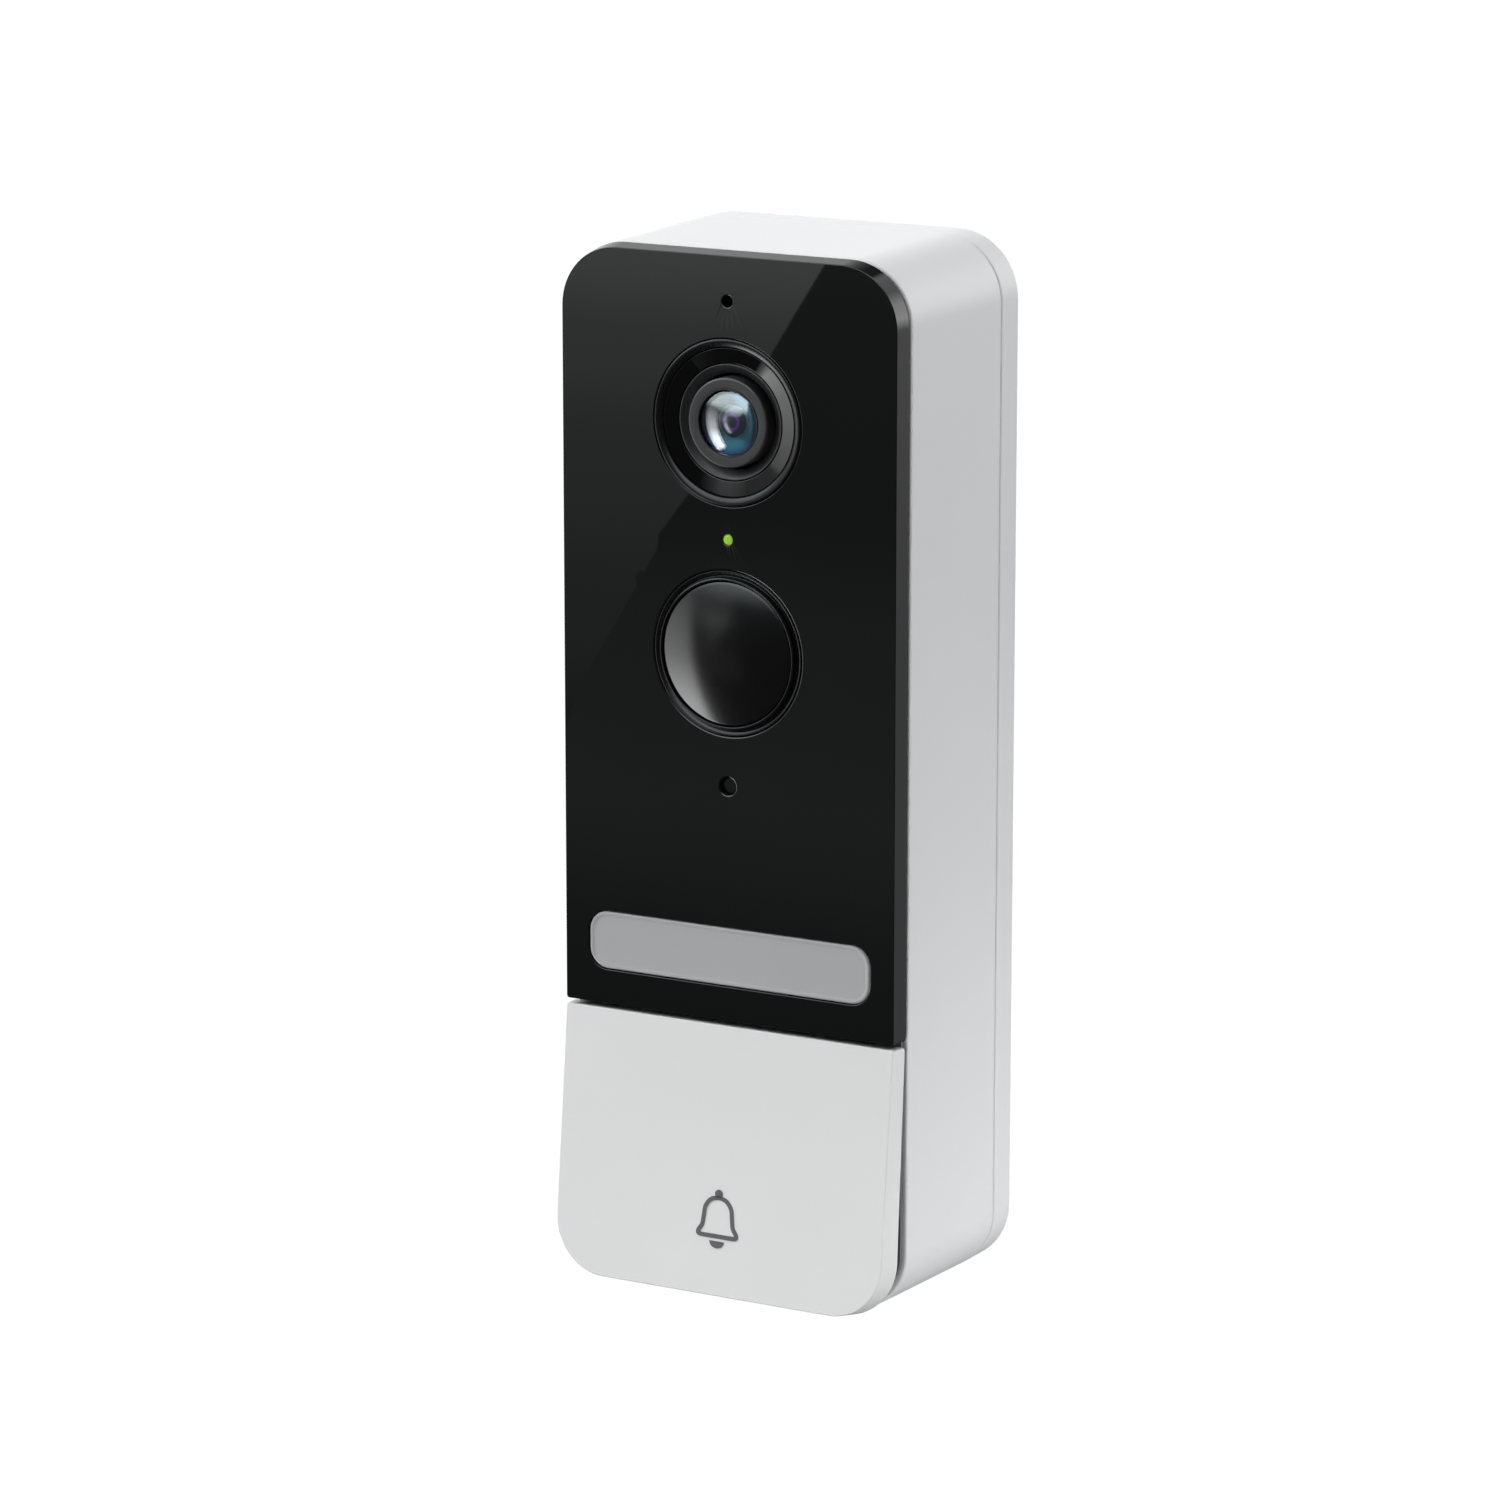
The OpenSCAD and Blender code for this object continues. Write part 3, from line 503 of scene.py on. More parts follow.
def build_panel():
    bm = bmesh.new()
    outer = [add_loop(bm, panel_outline(SLOPE + e), FACE_Y + h) for e, h in reversed(edge_arc(0.1, 3))]
    outer += [add_loop(bm, panel_outline(0), PANEL_BACK - 0.12), add_loop(bm, panel_outline(0.12), PANEL_BACK)]
    holes = []
    sizes = [(lambda e, z=LENS_Z: circle(BEZEL_R + 0.08 + e, z, 120), 0.12),
             (lambda e, z=PIR_Z: circle(BEZEL_R + 0.08 + e, z, 120), 0.30),
             (lambda e: circle(0.78 + e, LED_Z, 40), 0.10),
             (lambda e: circle(1.25 + e, DAY_Z, 48), 0.28),
             (lambda e: circle(0.80 + e, MIC_Z, 40), 0.20),
             (lambda e: rounded(-22.4 - e, 22.4 + e, BAR_Z - 4.25 - e, BAR_Z + 4.25 + e, 3 + e, 3 + e, 14), 0.12)]
    for shape, edge in sizes:
        rings = [add_loop(bm, shape(edge - e), FACE_Y + edge - h) for e, h in
                 [(edge * math.sin(math.pi / 2 * i / 4), edge * math.cos(math.pi / 2 * i / 4)) for i in range(5)]]
        rings.append(add_loop(bm, shape(0), PANEL_BACK))
        bridge(bm, rings)
        holes.append(rings)
    bridge(bm, outer)
    cap(bm, outer[0], *[h[0] for h in holes])
    cap(bm, outer[-1], *[h[-1] for h in holes])
    return finish_mesh("front_panel_gloss", bm, GLOSS, "doorbell", slot="gloss_black",
                       stands_for=("front_panel",), sharp=40)


build_panel()

# ---------------------------------------------------------------- camera

turned("lens_bezel_ring",
       [(10.25, -31.3), (BEZEL_R, -31.3), (BEZEL_R, -33.95), (11.3, -34.1), (10.95, -34.08), (10.4, -33.85),
        (10.25, -33.6)],
       LENS_Z, SATIN, slot="matt_black", stands_for=("lens_bezel",), soft=0.1)
turned("lens_baffle_funnel",
       [(6.9, -28.4), (11.2, -28.4), (11.2, -29.15), (10.18, -29.15), (10.18, -33.62), (8.15, -33.2),
        (8.05, -32.9), (8.0, -31.6), (6.9, -31.6)],
       LENS_Z, plastic("baffle_gloss", (0.001, 0.001, 0.001), rough=0.02, grain=0), slot="gloss_black",
       stands_for=("lens_baffle",), soft=0.06)
turned("lens_light_trap",
       [(7.98, -33.15), (7.98, -31.62), (6.95, -31.62), (6.62, -32.0), (6.6, -32.2), (7.8, -33.15)],
       LENS_Z, plastic("light_trap_grey", (0.02, 0.02, 0.0205), rough=0.4, grain=0.05, mottle=0.04),
       slot="matt_black", soft=0.06)
turned("lens_barrel_tube",
       [(4.7, -33.9), (6.0, -33.93), (6.2, -33.75), (6.2, -24.6), (5.95, -24.2), (5.95, -18.4), (3.4, -18.4),
        (3.4, -22), (3.9, -22), (3.9, -30.4), (4.7, -30.4)],
       LENS_Z, BARREL, slot="matt_black", stands_for=("lens_barrel",), soft=0.12)
turned("lens_retainer_ring",
       [(4.55, -32.4), (4.68, -32.4), (4.68, -34.0), (4.55, -34.0)],
       LENS_Z, MATT, slot="matt_black", stands_for=("lens_retainer",), soft=0.03)
turned("light_pipe_tip",
       [(0, -34), (0.5, -33.98), (0.7, -33.8), (0.7, -29.2), (1.6, -29.15), (1.6, -28.4), (0.7, -28.4),
        (0.7, -26.2), (0, -26.2)],
       LED_Z, GREEN, slot="green_light", stands_for=("led_light_pipe",), soft=0.05, n=40)
turned("daylight_window_lens",
       [(0, -33.3), (1.0, -33.3), (1.2, -33.1), (1.2, -29.15), (2.1, -29.15), (2.1, -28.4), (0, -28.4)],
       DAY_Z, GLOSS, slot="gloss_black", stands_for=("daylight_window",), soft=0.06, n=48)

# ---------------------------------------------------------------- motion dome

DOME = limits("pir_dome")
DOME_R = 10.0
DOME_TOP = DOME[2]
DOME_EDGE = DOME_TOP + 1.4


def dome_profile():
    rise = DOME_EDGE - DOME_TOP
    rad = (DOME_R ** 2 + rise ** 2) / (2 * rise)
    cy = DOME_TOP + rad
    a = math.asin(DOME_R / rad)
    outer = [(rad * math.sin(a * i / 24), cy - rad * math.cos(a * i / 24)) for i in range(25)]
    ri, ro = rad - 0.8, DOME_R - 1
    b = math.asin(ro / ri)
    inner = [(ri * math.sin(b * i / 16), cy - ri * math.cos(b * i / 16)) for i in range(16, -1, -1)]
    return outer + [(DOME_R, DOME_EDGE + 0.25), (DOME_R, -29.15), (11.2, -29.15), (11.2, -28.4), (ro, -28.4)] + inner


turned("motion_dome", dome_profile(), PIR_Z,
       plastic("dome_black", (0.003, 0.003, 0.0033), rough=0.17, grain=0.03, mottle=0.04),
       slot="gloss_black", stands_for=("pir_dome",), soft=0.1)
turned("motion_dome_bezel",
       [(10.12, -31.3), (BEZEL_R, -31.3), (BEZEL_R, -33.95), (11.2, -33.9), (10.75, -33.6), (10.62, -33.8),
        (10.58, -34.25), (10.42, -34.42), (10.24, -34.42), (10.12, -34.2)],
       PIR_Z, SATIN, slot="matt_black", stands_for=("pir_bezel",), soft=0.12)

# ---------------------------------------------------------------- light bar


def build_bar():
    bm = bmesh.new()
    o = lambda e: rounded(-22.3 + e, 22.3 - e, BAR_Z - 4.15 + e, BAR_Z + 4.15 - e, 2.9 - e, 2.9 - e, 14)
    back = lambda e: rounded(-23.5 + e, 23.5 - e, BAR_Z - 5.2 + e, BAR_Z + 5.2 - e, 3.8 - e, 3.8 - e, 14)
    rings = [add_loop(bm, o(0.75), BAR[2] + 0.10), add_loop(bm, o(0.62), BAR[2] + 0.02)]
    rings += [add_loop(bm, o(e), BAR[2] + h) for e, h in reversed(edge_arc(0.3, 4))]
    rings += [add_loop(bm, o(0), PANEL_BACK), add_loop(bm, back(0), PANEL_BACK + 0.02), add_loop(bm, back(0), BAR[3])]
    bridge(bm, rings)
    cap(bm, rings[0])
    cap(bm, rings[-1])
    return finish_mesh("light_bar_diffuser", bm, DIFFUSER, "doorbell", slot="frosted_diffuser",
                       stands_for=("light_bar",), sharp=40)


build_bar()

# ---------------------------------------------------------------- push plate

TILT = math.radians(5.8)
PLATE_TOP = PANEL_LOW - 0.4
PLATE_LEN = 38.75
LEAN = Matrix.Translation((0, FACE_Y, PLATE_TOP)) @ Matrix.Rotation(-TILT, 4, "X")
PLATE_R = 8.4


def plate_outline(e, n=16):
    return rounded(P_X0 + e, P_X1 - e, e - PLATE_LEN, -0.4 * e, max(0.3, 0.5 - e), PLATE_R - e, n)


def build_plate():
    bm = bmesh.new()
    rear = lambda x, z: 2.72 - z * math.tan(math.radians(2.3))
    rings = [add_loop(bm, plate_outline(SLOPE + e), h) for e, h in reversed(edge_arc(0.16, 4))]
    rings += [add_loop(bm, plate_outline(0), lambda x, z: rear(x, z) - 0.2), add_loop(bm, plate_outline(0.2), rear)]
    rings += [add_loop(bm, plate_outline(1.4), rear), add_loop(bm, plate_outline(1.5), lambda x, z: rear(x, z) - 0.1),
              add_loop(bm, plate_outline(1.5), 1.75), add_loop(bm, plate_outline(1.65), 1.6)]
    bridge(bm, rings)
    cap(bm, rings[0])
    cap(bm, rings[-1])
    bmesh.ops.transform(bm, matrix=LEAN, verts=bm.verts)
    # hinge lugs, switch post and spring studs inside
    pin = limits("button_pins")
    py, pz = (pin[2] + pin[3]) / 2, (pin[4] + pin[5]) / 2
    for s in (-1, 1):
        x = s * (pin[1] - 4)
        rim = [(py + 1.9 * math.cos(a), pz + 1.9 * math.sin(a)) for a in
               [math.radians(-90 + 180 * i / 16) for i in range(17)]]
        side = [(-32.75, pz + 1.9), (-32.75, pz - 1.9)]
        pts = rim + side
        two = [[bm.verts.new((xx, y, z)) for y, z in pts] for xx in (x - 1.5, x + 1.5)]
        bore = [[bm.verts.new((xx, y, z)) for y, z in circle(1.06, pz, 32, py)] for xx in (x - 1.5, x + 1.5)]
        bridge(bm, two)
        bridge(bm, bore)
        cap(bm, two[0], bore[0])
        cap(bm, two[1], bore[1])
    switch_z = centre_z("switch_plunger")
    spin(bm, [(0, -35.5), (1.5, -35.5), (1.5, -31.5), (1.35, -31.35), (0, -31.35)], switch_z, 32)
    spring = limits("button_springs")
    sx, sz = spring[1] - 2.37, (spring[4] + spring[5]) / 2
    for s in (-1, 1):
        spin(bm, [(0, -35.7), (1.4, -35.7), (1.4, -33.6), (1.2, -33.4), (0, -33.4)], sz, 32, s * sx)
    return finish_mesh("push_plate", bm, PLATE, "button", slot="white_shell", stands_for=("button_plate",), sharp=35)


build_plate()


def ribbon(bm, path, width, y0, y1, closed):
    """Flat printed line of constant width along a path in X and Z."""
    n = len(path)
    left, right = [], []
    for i in range(n):
        p = Vector(path[i])
        a = Vector(path[(i - 1) % n if closed else max(i - 1, 0)])
        b = Vector(path[(i + 1) % n if closed else min(i + 1, n - 1)])
        d = (b - a).normalized()
        side = Vector((-d.y, d.x)) * width / 2
        left.append(p + side)
        right.append(p - side)
    rows = [[bm.verts.new((q.x, y, q.y)) for q in pts] for y in (y0, y1) for pts in (left, right)]
    l0, r0, l1, r1 = rows
    for i in range(n if closed else n - 1):
        j = (i + 1) % n
        bm.faces.new((l0[i], l0[j], r0[j], r0[i]))
        bm.faces.new((r1[i], r1[j], l1[j], l1[i]))
        bm.faces.new((l0[i], l1[i], l1[j], l0[j]))
        bm.faces.new((r0[i], r0[j], r1[j], r1[i]))
    if not closed:
        bm.faces.new((l0[0], r0[0], r1[0], l1[0]))
        bm.faces.new((l0[-1], l1[-1], r1[-1], r0[-1]))


def curve(points, steps=8):
    """Smooth closed path through points (Catmull-Rom)."""
    out = []
    n = len(points)
    for i in range(n):
        p = [Vector(points[(i + k - 1) % n]) for k in range(4)]
        for s in range(steps):
            t = s / steps
            out.append(0.5 * ((2 * p[1]) + (p[2] - p[0]) * t + (2 * p[0] - 5 * p[1] + 4 * p[2] - p[3]) * t ** 2
                              + (3 * p[1] - p[0] - 3 * p[2] + p[3]) * t ** 3))
    return out


def build_bell():
    bm = bmesh.new()
    half = [(0, 3.0), (1.25, 2.65), (2.05, 1.6), (2.25, 0.3), (2.45, -1.0), (3.0, -1.9), (2.95, -2.35),
            (2.3, -2.45), (0, -2.45)]
    path = curve(half + [(-x, z) for x, z in reversed(half[1:-1])])
    base = -27.4
    path = [(p.x, p.y + base) for p in path]
    ribbon(bm, path, 0.62, -0.08, 0.0, True)
    knob = circle(0.62, base + 3.55, 24)
    arc = [math.pi * i / 20 for i in range(21)]
    clapper = [(1.15 * math.cos(a), base - 3.15 - math.sin(a)) for a in arc]
    for shape in (knob, clapper):
        two = [add_loop(bm, shape, y) for y in (-0.08, 0.0)]
        bridge(bm, two)
        cap(bm, two[0])
        cap(bm, two[1])
    return finish_mesh("bell_print", bm, PRINT, "button", slot="grey_print", stands_for=("bell_icon",),
                       place=LEAN, weighted=False)


build_bell()

# ---------------------------------------------------------------- everything else keeps its CAD shape

slots = {s["node"]: s["material_slot"] for s in frame["record"]["subparts"]}
for node, o in frame["nodes"].items():
    look = LOOK.get(slots[node])
    if look is None:
        continue
    o.data.materials.clear()
    o.data.materials.append(look)

# ---------------------------------------------------------------- parts that give way


def flexing(name, node, body):
    """A sprung part in its CAD shape, as its own copy on the given body."""
    o = bpy.data.objects.new(name, frame["nodes"][node].data.copy())
    bpy.context.scene.collection.objects.link(o)
    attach(o, body)
    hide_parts(node)
    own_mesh(o)


flexing("release_clip", "latch_clip", "bracket")
flexing("plate_springs", "button_springs", "doorbell")

# ---------------------------------------------------------------- glass

def glass(name, color, film, rough=0.0, ior=1.5):
    m = bpy.data.materials.new(name)
    m.use_nodes = True
    nt = m.node_tree
    b = nt.nodes["Principled BSDF"]
    at = nt.nodes.new("ShaderNodeTexCoord")
    tint = nt.nodes.new("ShaderNodeTexNoise")
    tint.inputs["Scale"].default_value = 120
    nt.links.new(at.outputs["Object"], tint.inputs["Vector"])
    ramp = nt.nodes.new("ShaderNodeValToRGB")
    ramp.color_ramp.elements[0].color = [c * 0.97 for c in color] + [1]
    ramp.color_ramp.elements[1].color = [*color, 1]
    nt.links.new(tint.outputs["Fac"], ramp.inputs["Fac"])
    nt.links.new(ramp.outputs["Color"], b.inputs["Base Color"])
    b.inputs["Roughness"].default_value = rough
    b.inputs["IOR"].default_value = ior
    socket(b, "Transmission Weight").default_value = 1
    socket(b, "Thin Film Thickness").default_value = film
    socket(b, "Thin Film IOR").default_value = 1.8
    return m


FRONT_GLASS = glass("front_glass", (0.93, 0.98, 1.0), 0, ior=1.3)
REAR_GLASS = glass("rear_glass", (0.75, 0.72, 1.0), 520)
for node, o in frame["nodes"].items():
    if slots[node] == "coated_glass":
        o.data.materials.clear()
        o.data.materials.append(REAR_GLASS)
fg = FRONT_GLASS.node_tree.nodes["Principled BSDF"]
socket(fg, "Coat Weight").default_value = 1
socket(fg, "Coat Roughness").default_value = 0
socket(fg, "Coat IOR").default_value = 1.6


def radial(name, bands, reach, x, z, rough, metal, spec=0.5, coat=0.0):
    """Colour by distance from an axis along Y through (x, z), in bands of (radius share, colour)."""
    m = bpy.data.materials.new(name)
    m.use_nodes = True
    nt = m.node_tree
    b = nt.nodes["Principled BSDF"]
    socket(b, "Roughness").default_value = rough
    socket(b, "Metallic").default_value = metal
    socket(b, "Specular IOR Level").default_value = spec
    socket(b, "Coat Weight").default_value = coat
    socket(b, "Coat Roughness").default_value = 0.02
    at = nt.nodes.new("ShaderNodeTexCoord")
    put = nt.nodes.new("ShaderNodeMapping")
    k = 1 / (reach * MM)
    put.inputs["Location"].default_value = (-x * MM * k, 0, -z * MM * k)
    put.inputs["Scale"].default_value = (k, 0, k)
    fall = nt.nodes.new("ShaderNodeTexGradient")
    fall.gradient_type = "SPHERICAL"
    ramp = nt.nodes.new("ShaderNodeValToRGB")
    while len(ramp.color_ramp.elements) < len(bands):
        ramp.color_ramp.elements.new(0.5)
    for e, (where, color) in zip(ramp.color_ramp.elements, sorted((1 - w, c) for w, c in bands)):
        e.position = where
        e.color = (*color, 1)
    nt.links.new(at.outputs["Object"], put.inputs["Vector"])
    nt.links.new(put.outputs["Vector"], fall.inputs["Vector"])
    nt.links.new(fall.outputs["Fac"], ramp.inputs["Fac"])
    nt.links.new(ramp.outputs["Color"], b.inputs["Base Color"])
    return m


def sphere_cap(radius, rise, y, steps=20, hollow=False):
    """Profile from the axis outwards of a cap whose apex is at y; hollow caps curve away from the front."""
    rad = (radius ** 2 + rise ** 2) / (2 * rise)
    a = math.asin(radius / rad)
    side = -1 if hollow else 1
    turns = [a * i / steps for i in range(steps + 1)]
    return [(rad * math.sin(t), y + side * (rad - rad * math.cos(t))) for t in turns]


GLASS = limits("lens_glass")
outer = sphere_cap(4.5, 1.2, GLASS[2])
inner = sphere_cap(4.1, 1.08, GLASS[2] + 0.6)
turned("lens_front_glass", outer + [(4.5, GLASS[2] + 2.3), (4.1, GLASS[2] + 2.3)] + inner[::-1], LENS_Z, FRONT_GLASS,
       slot="coated_glass", stands_for=("lens_glass",), soft=0)
# Partly painted reflection: the metallic teal is the coating's own tint. Its bands by radius, brightest about three
# quarters of the way out, are painted sheen standing in for the coating's coloured reflection.
BOWL_TINT_SHEEN = radial("bowl_tint_painted_sheen",
              [(0.0, (0.006, 0.02, 0.03)), (0.55, (0.01, 0.035, 0.05)), (0.75, (0.012, 0.06, 0.085)),
               (0.92, (0.002, 0.035, 0.085)), (1.0, (0.002, 0.018, 0.055))],
              4.3, 0, LENS_Z, 0.22, 0.8)
bowl = [(r, y) for r, y in sphere_cap(4.4, 1.25, -31.9, hollow=True) if r > 2.2]
turned("lens_inner_bowl", bowl + [(4.45, -32.4), (4.45, -30.9), (2.2, -30.9)], LENS_Z, BOWL_TINT_SHEEN,
       slot="coated_glass", soft=0)
# Painted reflection: the element's base colour is painted in rings, a dark green centre, a purple ring and a bright
# teal rim, standing in for the coloured reflections of its coatings.
ELEMENT_PAINTED_REFLECTION = radial("element_painted_reflection",
                 [(0.0, (0.0, 0.012, 0.008)), (0.24, (0.0, 0.03, 0.022)), (0.34, (0.05, 0.01, 0.12)),
                  (0.42, (0.22, 0.04, 0.30)), (0.52, (0.05, 0.03, 0.16)), (0.60, (0.01, 0.015, 0.03)),
                  (0.86, (0.006, 0.03, 0.045)), (0.93, (0.10, 0.25, 0.30)), (1.0, (0.01, 0.03, 0.04))],
                 2.35, 0, LENS_Z, 0.3, 0, spec=0.6, coat=1.0)
element = sphere_cap(2.3, 0.75, -32.9) + [(2.35, -32.1), (2.35, -30.95), (0, -30.95)]
turned("lens_inner_element", element, LENS_Z, ELEMENT_PAINTED_REFLECTION, slot="coated_glass", soft=0)

# ---------------------------------------------------------------- stage, light and camera


def stage_mesh(name, verts, faces, material):
    mesh = bpy.data.meshes.new(name)
    mesh.from_pydata([tuple(v) for v in verts], [], faces)
    mesh.materials.append(material)
    o = bpy.data.objects.new(name, mesh)
    bpy.context.scene.collection.objects.link(o)
    return o


def area(name, at, target, size, power, color=(1, 1, 1), size_y=None, glossy=True):
    data = bpy.data.lights.new(name, "AREA")
    data.energy = power
    data.color = color
    data.size = size
    if size_y:
        data.shape, data.size_y = "RECTANGLE", size_y
    o = bpy.data.objects.new(name, data)
    o.location = at
    o.rotation_euler = (Vector(target) - Vector(at)).to_track_quat("-Z", "Y").to_euler()
    o.visible_glossy = glossy
    o.visible_transmission = glossy
    bpy.context.scene.collection.objects.link(o)
    return o


floor_mat = plastic("floor_paint", (0.30, 0.30, 0.30), rough=0.9, grain=0, mottle=0.005)
fb = floor_mat.node_tree.nodes["Principled BSDF"]
fb.inputs["Emission Color"].default_value = (1, 1, 1, 1)
fb.inputs["Emission Strength"].default_value = 1.0
FLOOR_Z, CEILING_Z, R = cad_box[0][2] - 1.5, 3, 4
room = [(x, y, z) for z in (FLOOR_Z, CEILING_Z) for x, y in ((-R, -R), (R, -R), (R, R), (-R, R))]
room_faces = [(0, 1, 2, 3), (4, 5, 6, 7), (0, 1, 5, 4), (1, 2, 6, 5), (2, 3, 7, 6), (3, 0, 4, 7)]
floor = stage_mesh("floor", room, room_faces, floor_mat)
for kind in ("diffuse", "glossy", "transmission", "shadow"):
    setattr(floor, "visible_" + kind, False)

world = bpy.data.worlds.new("studio")
bpy.context.scene.world = world
world.use_nodes = True
world.node_tree.nodes["Background"].inputs["Color"].default_value = (0.98, 0.99, 1, 1)
world.node_tree.nodes["Background"].inputs["Strength"].default_value = 0.07

area("top_soft", (0.05, -0.05, 0.8), (0, 0, 0.07), 0.6, 1.9, glossy=False)
area("left_soft", (-0.7, -0.35, 0.45), (0, 0, 0.03), 0.5, 8.6, glossy=False)
area("back_soft", (0.1, 0.8, 0.4), (0, 0, 0), 0.6, 2.1, glossy=False)
area("right_upper", (0.28, -0.02, 0.22), (0.027, 0, 0.05), 0.1, 0.35, glossy=False)
area("front_low", (0.05, -0.24, -0.125), (0.01, -0.03, -0.07), 0.08, 0.19, glossy=False)
area("right_low", (0.15, 0.0, -0.10), (0.03, 0, -0.07), 0.06, 0.11, glossy=False)


def sheen_card(name, corners, levels, axis, span):
    """Card seen only in reflections; its glow follows levels, a list of (place 0 to 1, strength)."""
    m = bpy.data.materials.new(name)
    m.use_nodes = True
    nt = m.node_tree
    nt.nodes.clear()
    out = nt.nodes.new("ShaderNodeOutputMaterial")
    glow = nt.nodes.new("ShaderNodeEmission")
    at = nt.nodes.new("ShaderNodeTexCoord")
    split = nt.nodes.new("ShaderNodeSeparateXYZ")
    run = nt.nodes.new("ShaderNodeMapRange")
    run.inputs["From Min"].default_value, run.inputs["From Max"].default_value = span
    ramp = nt.nodes.new("ShaderNodeValToRGB")
    ramp.color_ramp.interpolation = "EASE"
    while len(ramp.color_ramp.elements) < len(levels):
        ramp.color_ramp.elements.new(0.5)
    for e, (where, level) in zip(ramp.color_ramp.elements, levels):
        e.position = where
        e.color = (level, level * 1.01, level * 1.02, 1)
    nt.links.new(at.outputs["Object"], split.inputs["Vector"])
    nt.links.new(split.outputs[axis], run.inputs["Value"])
    nt.links.new(run.outputs["Result"], ramp.inputs["Fac"])
    nt.links.new(ramp.outputs["Color"], glow.inputs["Color"])
    nt.links.new(glow.outputs["Emission"], out.inputs["Surface"])
    o = stage_mesh(name, corners, [tuple(range(len(corners)))], m)
    for kind in ("camera", "diffuse", "transmission", "shadow", "volume_scatter"):
        setattr(o, "visible_" + kind, False)
    return o


def light_tent(windows, radius=0.62, step=3):
    """Sphere of soft windows seen only in reflections. A window is (azimuth levels, elevation levels, colour)."""
    azs, els = range(-180, 181, step), range(-84, 85, step)
    verts, faces, uvs = [], [], []
    for e in els:
        for a in azs:
            ar, er = math.radians(a), math.radians(e)
            out = radius * math.cos(er)
            verts.append((out * math.sin(ar), -out * math.cos(ar), radius * math.sin(er)))
            uvs.append(((a + 180) / 360, (e + 90) / 180))
    w = len(azs)
    for i in range(len(els) - 1):
        for j in range(w - 1):
            faces.append((i * w + j, i * w + j + 1, (i + 1) * w + j + 1, (i + 1) * w + j))
    m = bpy.data.materials.new("tent")
    m.use_nodes = True
    nt = m.node_tree
    nt.nodes.clear()
    at = nt.nodes.new("ShaderNodeTexCoord")
    split = nt.nodes.new("ShaderNodeSeparateXYZ")
    nt.links.new(at.outputs["UV"], split.inputs["Vector"])
    clear = nt.nodes.new("ShaderNodeBsdfTransparent")
    total = clear.outputs["BSDF"]
    for across, up, color, strength in windows:
        parts = []
        for axis, levels, low, span in (("X", across, -180, 360), ("Y", up, -90, 180)):
            ramp = nt.nodes.new("ShaderNodeValToRGB")
            while len(ramp.color_ramp.elements) < len(levels):
                ramp.color_ramp.elements.new(0.5)
            for e, (deg, level) in zip(ramp.color_ramp.elements, levels):
                e.position = (deg - low) / span
                e.color = (level, level, level, 1)
            nt.links.new(split.outputs[axis], ramp.inputs["Fac"])
            parts.append(ramp)
        both = nt.nodes.new("ShaderNodeVectorMath")
        both.operation = "MULTIPLY"
        nt.links.new(parts[0].outputs["Color"], both.inputs[0])
        nt.links.new(parts[1].outputs["Color"], both.inputs[1])
        tint = nt.nodes.new("ShaderNodeVectorMath")
        tint.operation = "MULTIPLY"
        tint.inputs[1].default_value = color
        nt.links.new(both.outputs["Vector"], tint.inputs[0])
        glow = nt.nodes.new("ShaderNodeEmission")
        glow.inputs["Strength"].default_value = strength
        nt.links.new(tint.outputs["Vector"], glow.inputs["Color"])
        add = nt.nodes.new("ShaderNodeAddShader")
        nt.links.new(total, add.inputs[0])
        nt.links.new(glow.outputs["Emission"], add.inputs[1])
        total = add.outputs["Shader"]
    out = nt.nodes.new("ShaderNodeOutputMaterial")
    nt.links.new(total, out.inputs["Surface"])
    o = stage_mesh("light_tent", verts, faces, m)
    layer = o.data.uv_layers.new(name="place")
    for loop in o.data.loops:
        layer.data[loop.index].uv = uvs[loop.vertex_index]
    for kind in ("camera", "diffuse", "shadow", "volume_scatter"):
        setattr(o, "visible_" + kind, False)


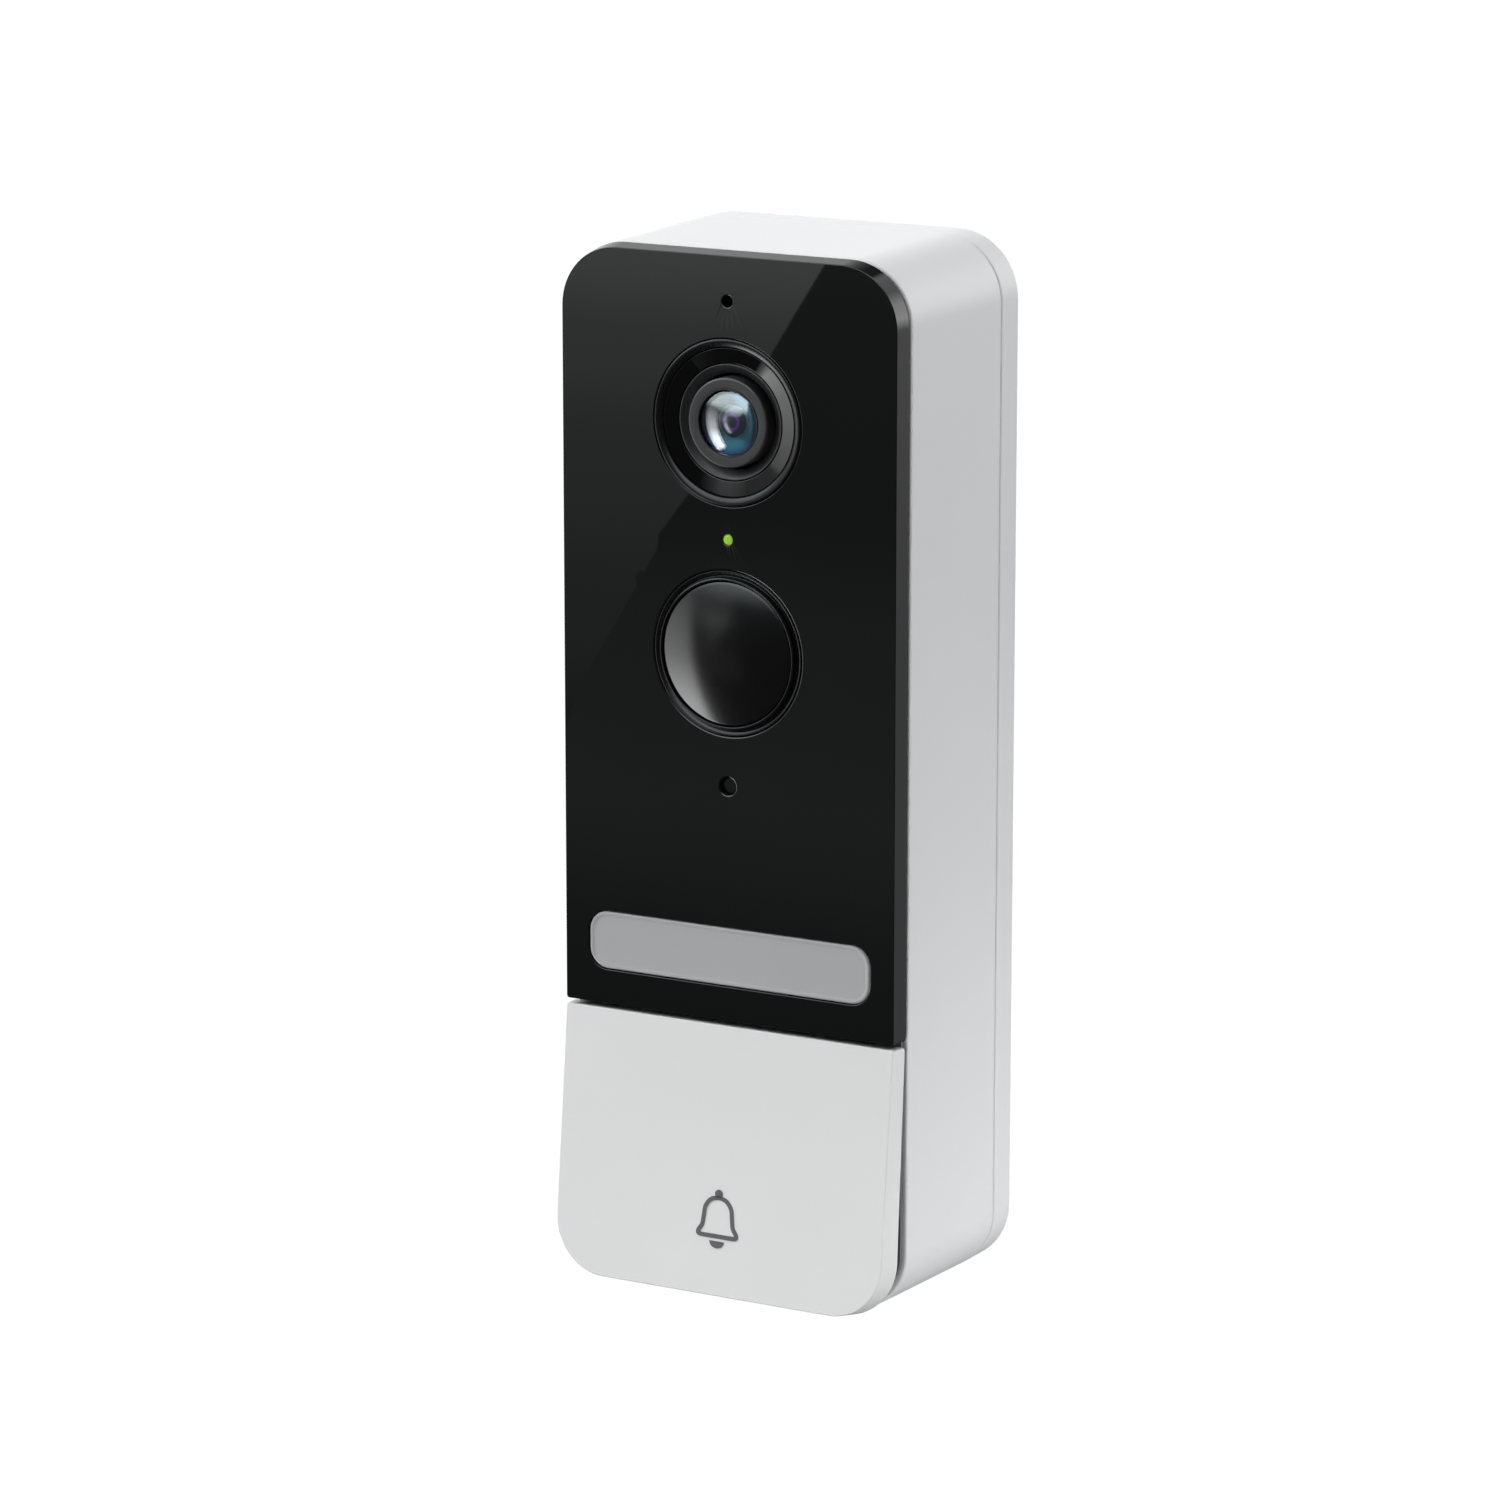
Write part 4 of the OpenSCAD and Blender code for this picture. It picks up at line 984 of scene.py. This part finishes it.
light_tent([
    # tall window on the left: the bright crescent in the camera's funnel
    ([(-70, 0), (-64, 1), (-45, 1), (-43, 0)],
     [(-42, 0), (-38, 1), (-28, 0.95), (-12, 0.38), (4, 0.2), (12, 0.1), (14, 0)],
     (0.98, 0.99, 1.0), 7.5),
    # small window beside it: the crescent's faint lower end
    ([(-44, 0), (-42, 1), (-25, 1), (-23, 0)], [(-2, 0), (4, 1), (14, 0.8), (17, 0)], (1, 1, 1), 0.45),
    # wide upper window: the pale tops of the lens and of the dome
    ([(-100, 0), (-94, 1), (10, 1), (14, 0)], [(12, 0), (22, 0.85), (50, 1), (62, 0)], (0.87, 0.97, 1.0), 4.2),
    # right rear window: the shading along the panel's right side wall
    ([(112, 0), (122, 1), (160, 1), (172, 0)],
     [(-50, 0), (-25, 0.12), (-10, 0.14), (0, 0.26), (12, 1), (28, 0.8), (40, 0.28), (50, 0.28), (56, 1), (74, 0.9),
      (84, 0)],
     (1, 1, 1), 3.6),
    # left rear window: the panel's top wall
    ([(-178, 0), (-165, 1), (-130, 1), (-110, 0)], [(-5, 0), (8, 1), (30, 1), (50, 0)], (1, 1, 1), 0.8),
])


# what the glossy panel mirrors towards the camera: a faint backdrop, and a brighter card with a slanting edge
MIRROR = Vector((0.40296, 0.66602, 0.18522))


def on_card(x, z, depth=-0.30):
    """Place on the card plane that the camera sees in the panel at x, z in millimetres."""
    p = Vector((x * MM, FACE_Y * MM, z * MM))
    return MIRROR + (p - MIRROR) * ((depth - MIRROR.y) / (p.y - MIRROR.y))


def card_z(z):
    return on_card(0, z).z


sheen_card("backdrop_card", [on_card(-40, -48), on_card(40, -48), on_card(40, 86), on_card(-40, 86)],
           [(0, 0.05), (0.14, 0.08), (0.34, 0.20), (0.50, 0.17), (0.66, 0.10), (0.84, 0.12), (1, 0.2)], "Z",
           (card_z(-48), card_z(86)))
top_line, low_line = on_card(15.5, 74, -0.295), on_card(-36, -8, -0.295)
slant = [top_line, *(on_card(x, z, -0.295) for x, z in ((20, 84), (-44, 84), (-44, -20))), low_line]
sheen_card("slant_card", slant,
           [(0, 0.10), (0.3, 0.24), (0.62, 0.38), (0.82, 0.58), (1, 0.95)], "Z", (card_z(0), card_z(74)))

bpy.context.scene.view_settings.view_transform = "Standard"

AIM = Vector((-0.00478, -0.01937, 0.00138))
AZ, EL, DIST = math.radians(29.707), math.radians(12.595), 0.84307
cam_data = bpy.data.cameras.new("camera")
cam_data.sensor_width = 36
cam_data.lens = 144.92
cam_data.clip_end = 100
camera = bpy.data.objects.new("camera", cam_data)
back = Vector((math.sin(AZ) * math.cos(EL), -math.cos(AZ) * math.cos(EL), math.sin(EL)))
camera.location = AIM + back * DIST
camera.rotation_euler = (-back).to_track_quat("-Z", "Y").to_euler()
bpy.context.scene.collection.objects.link(camera)
bpy.context.scene.camera = camera
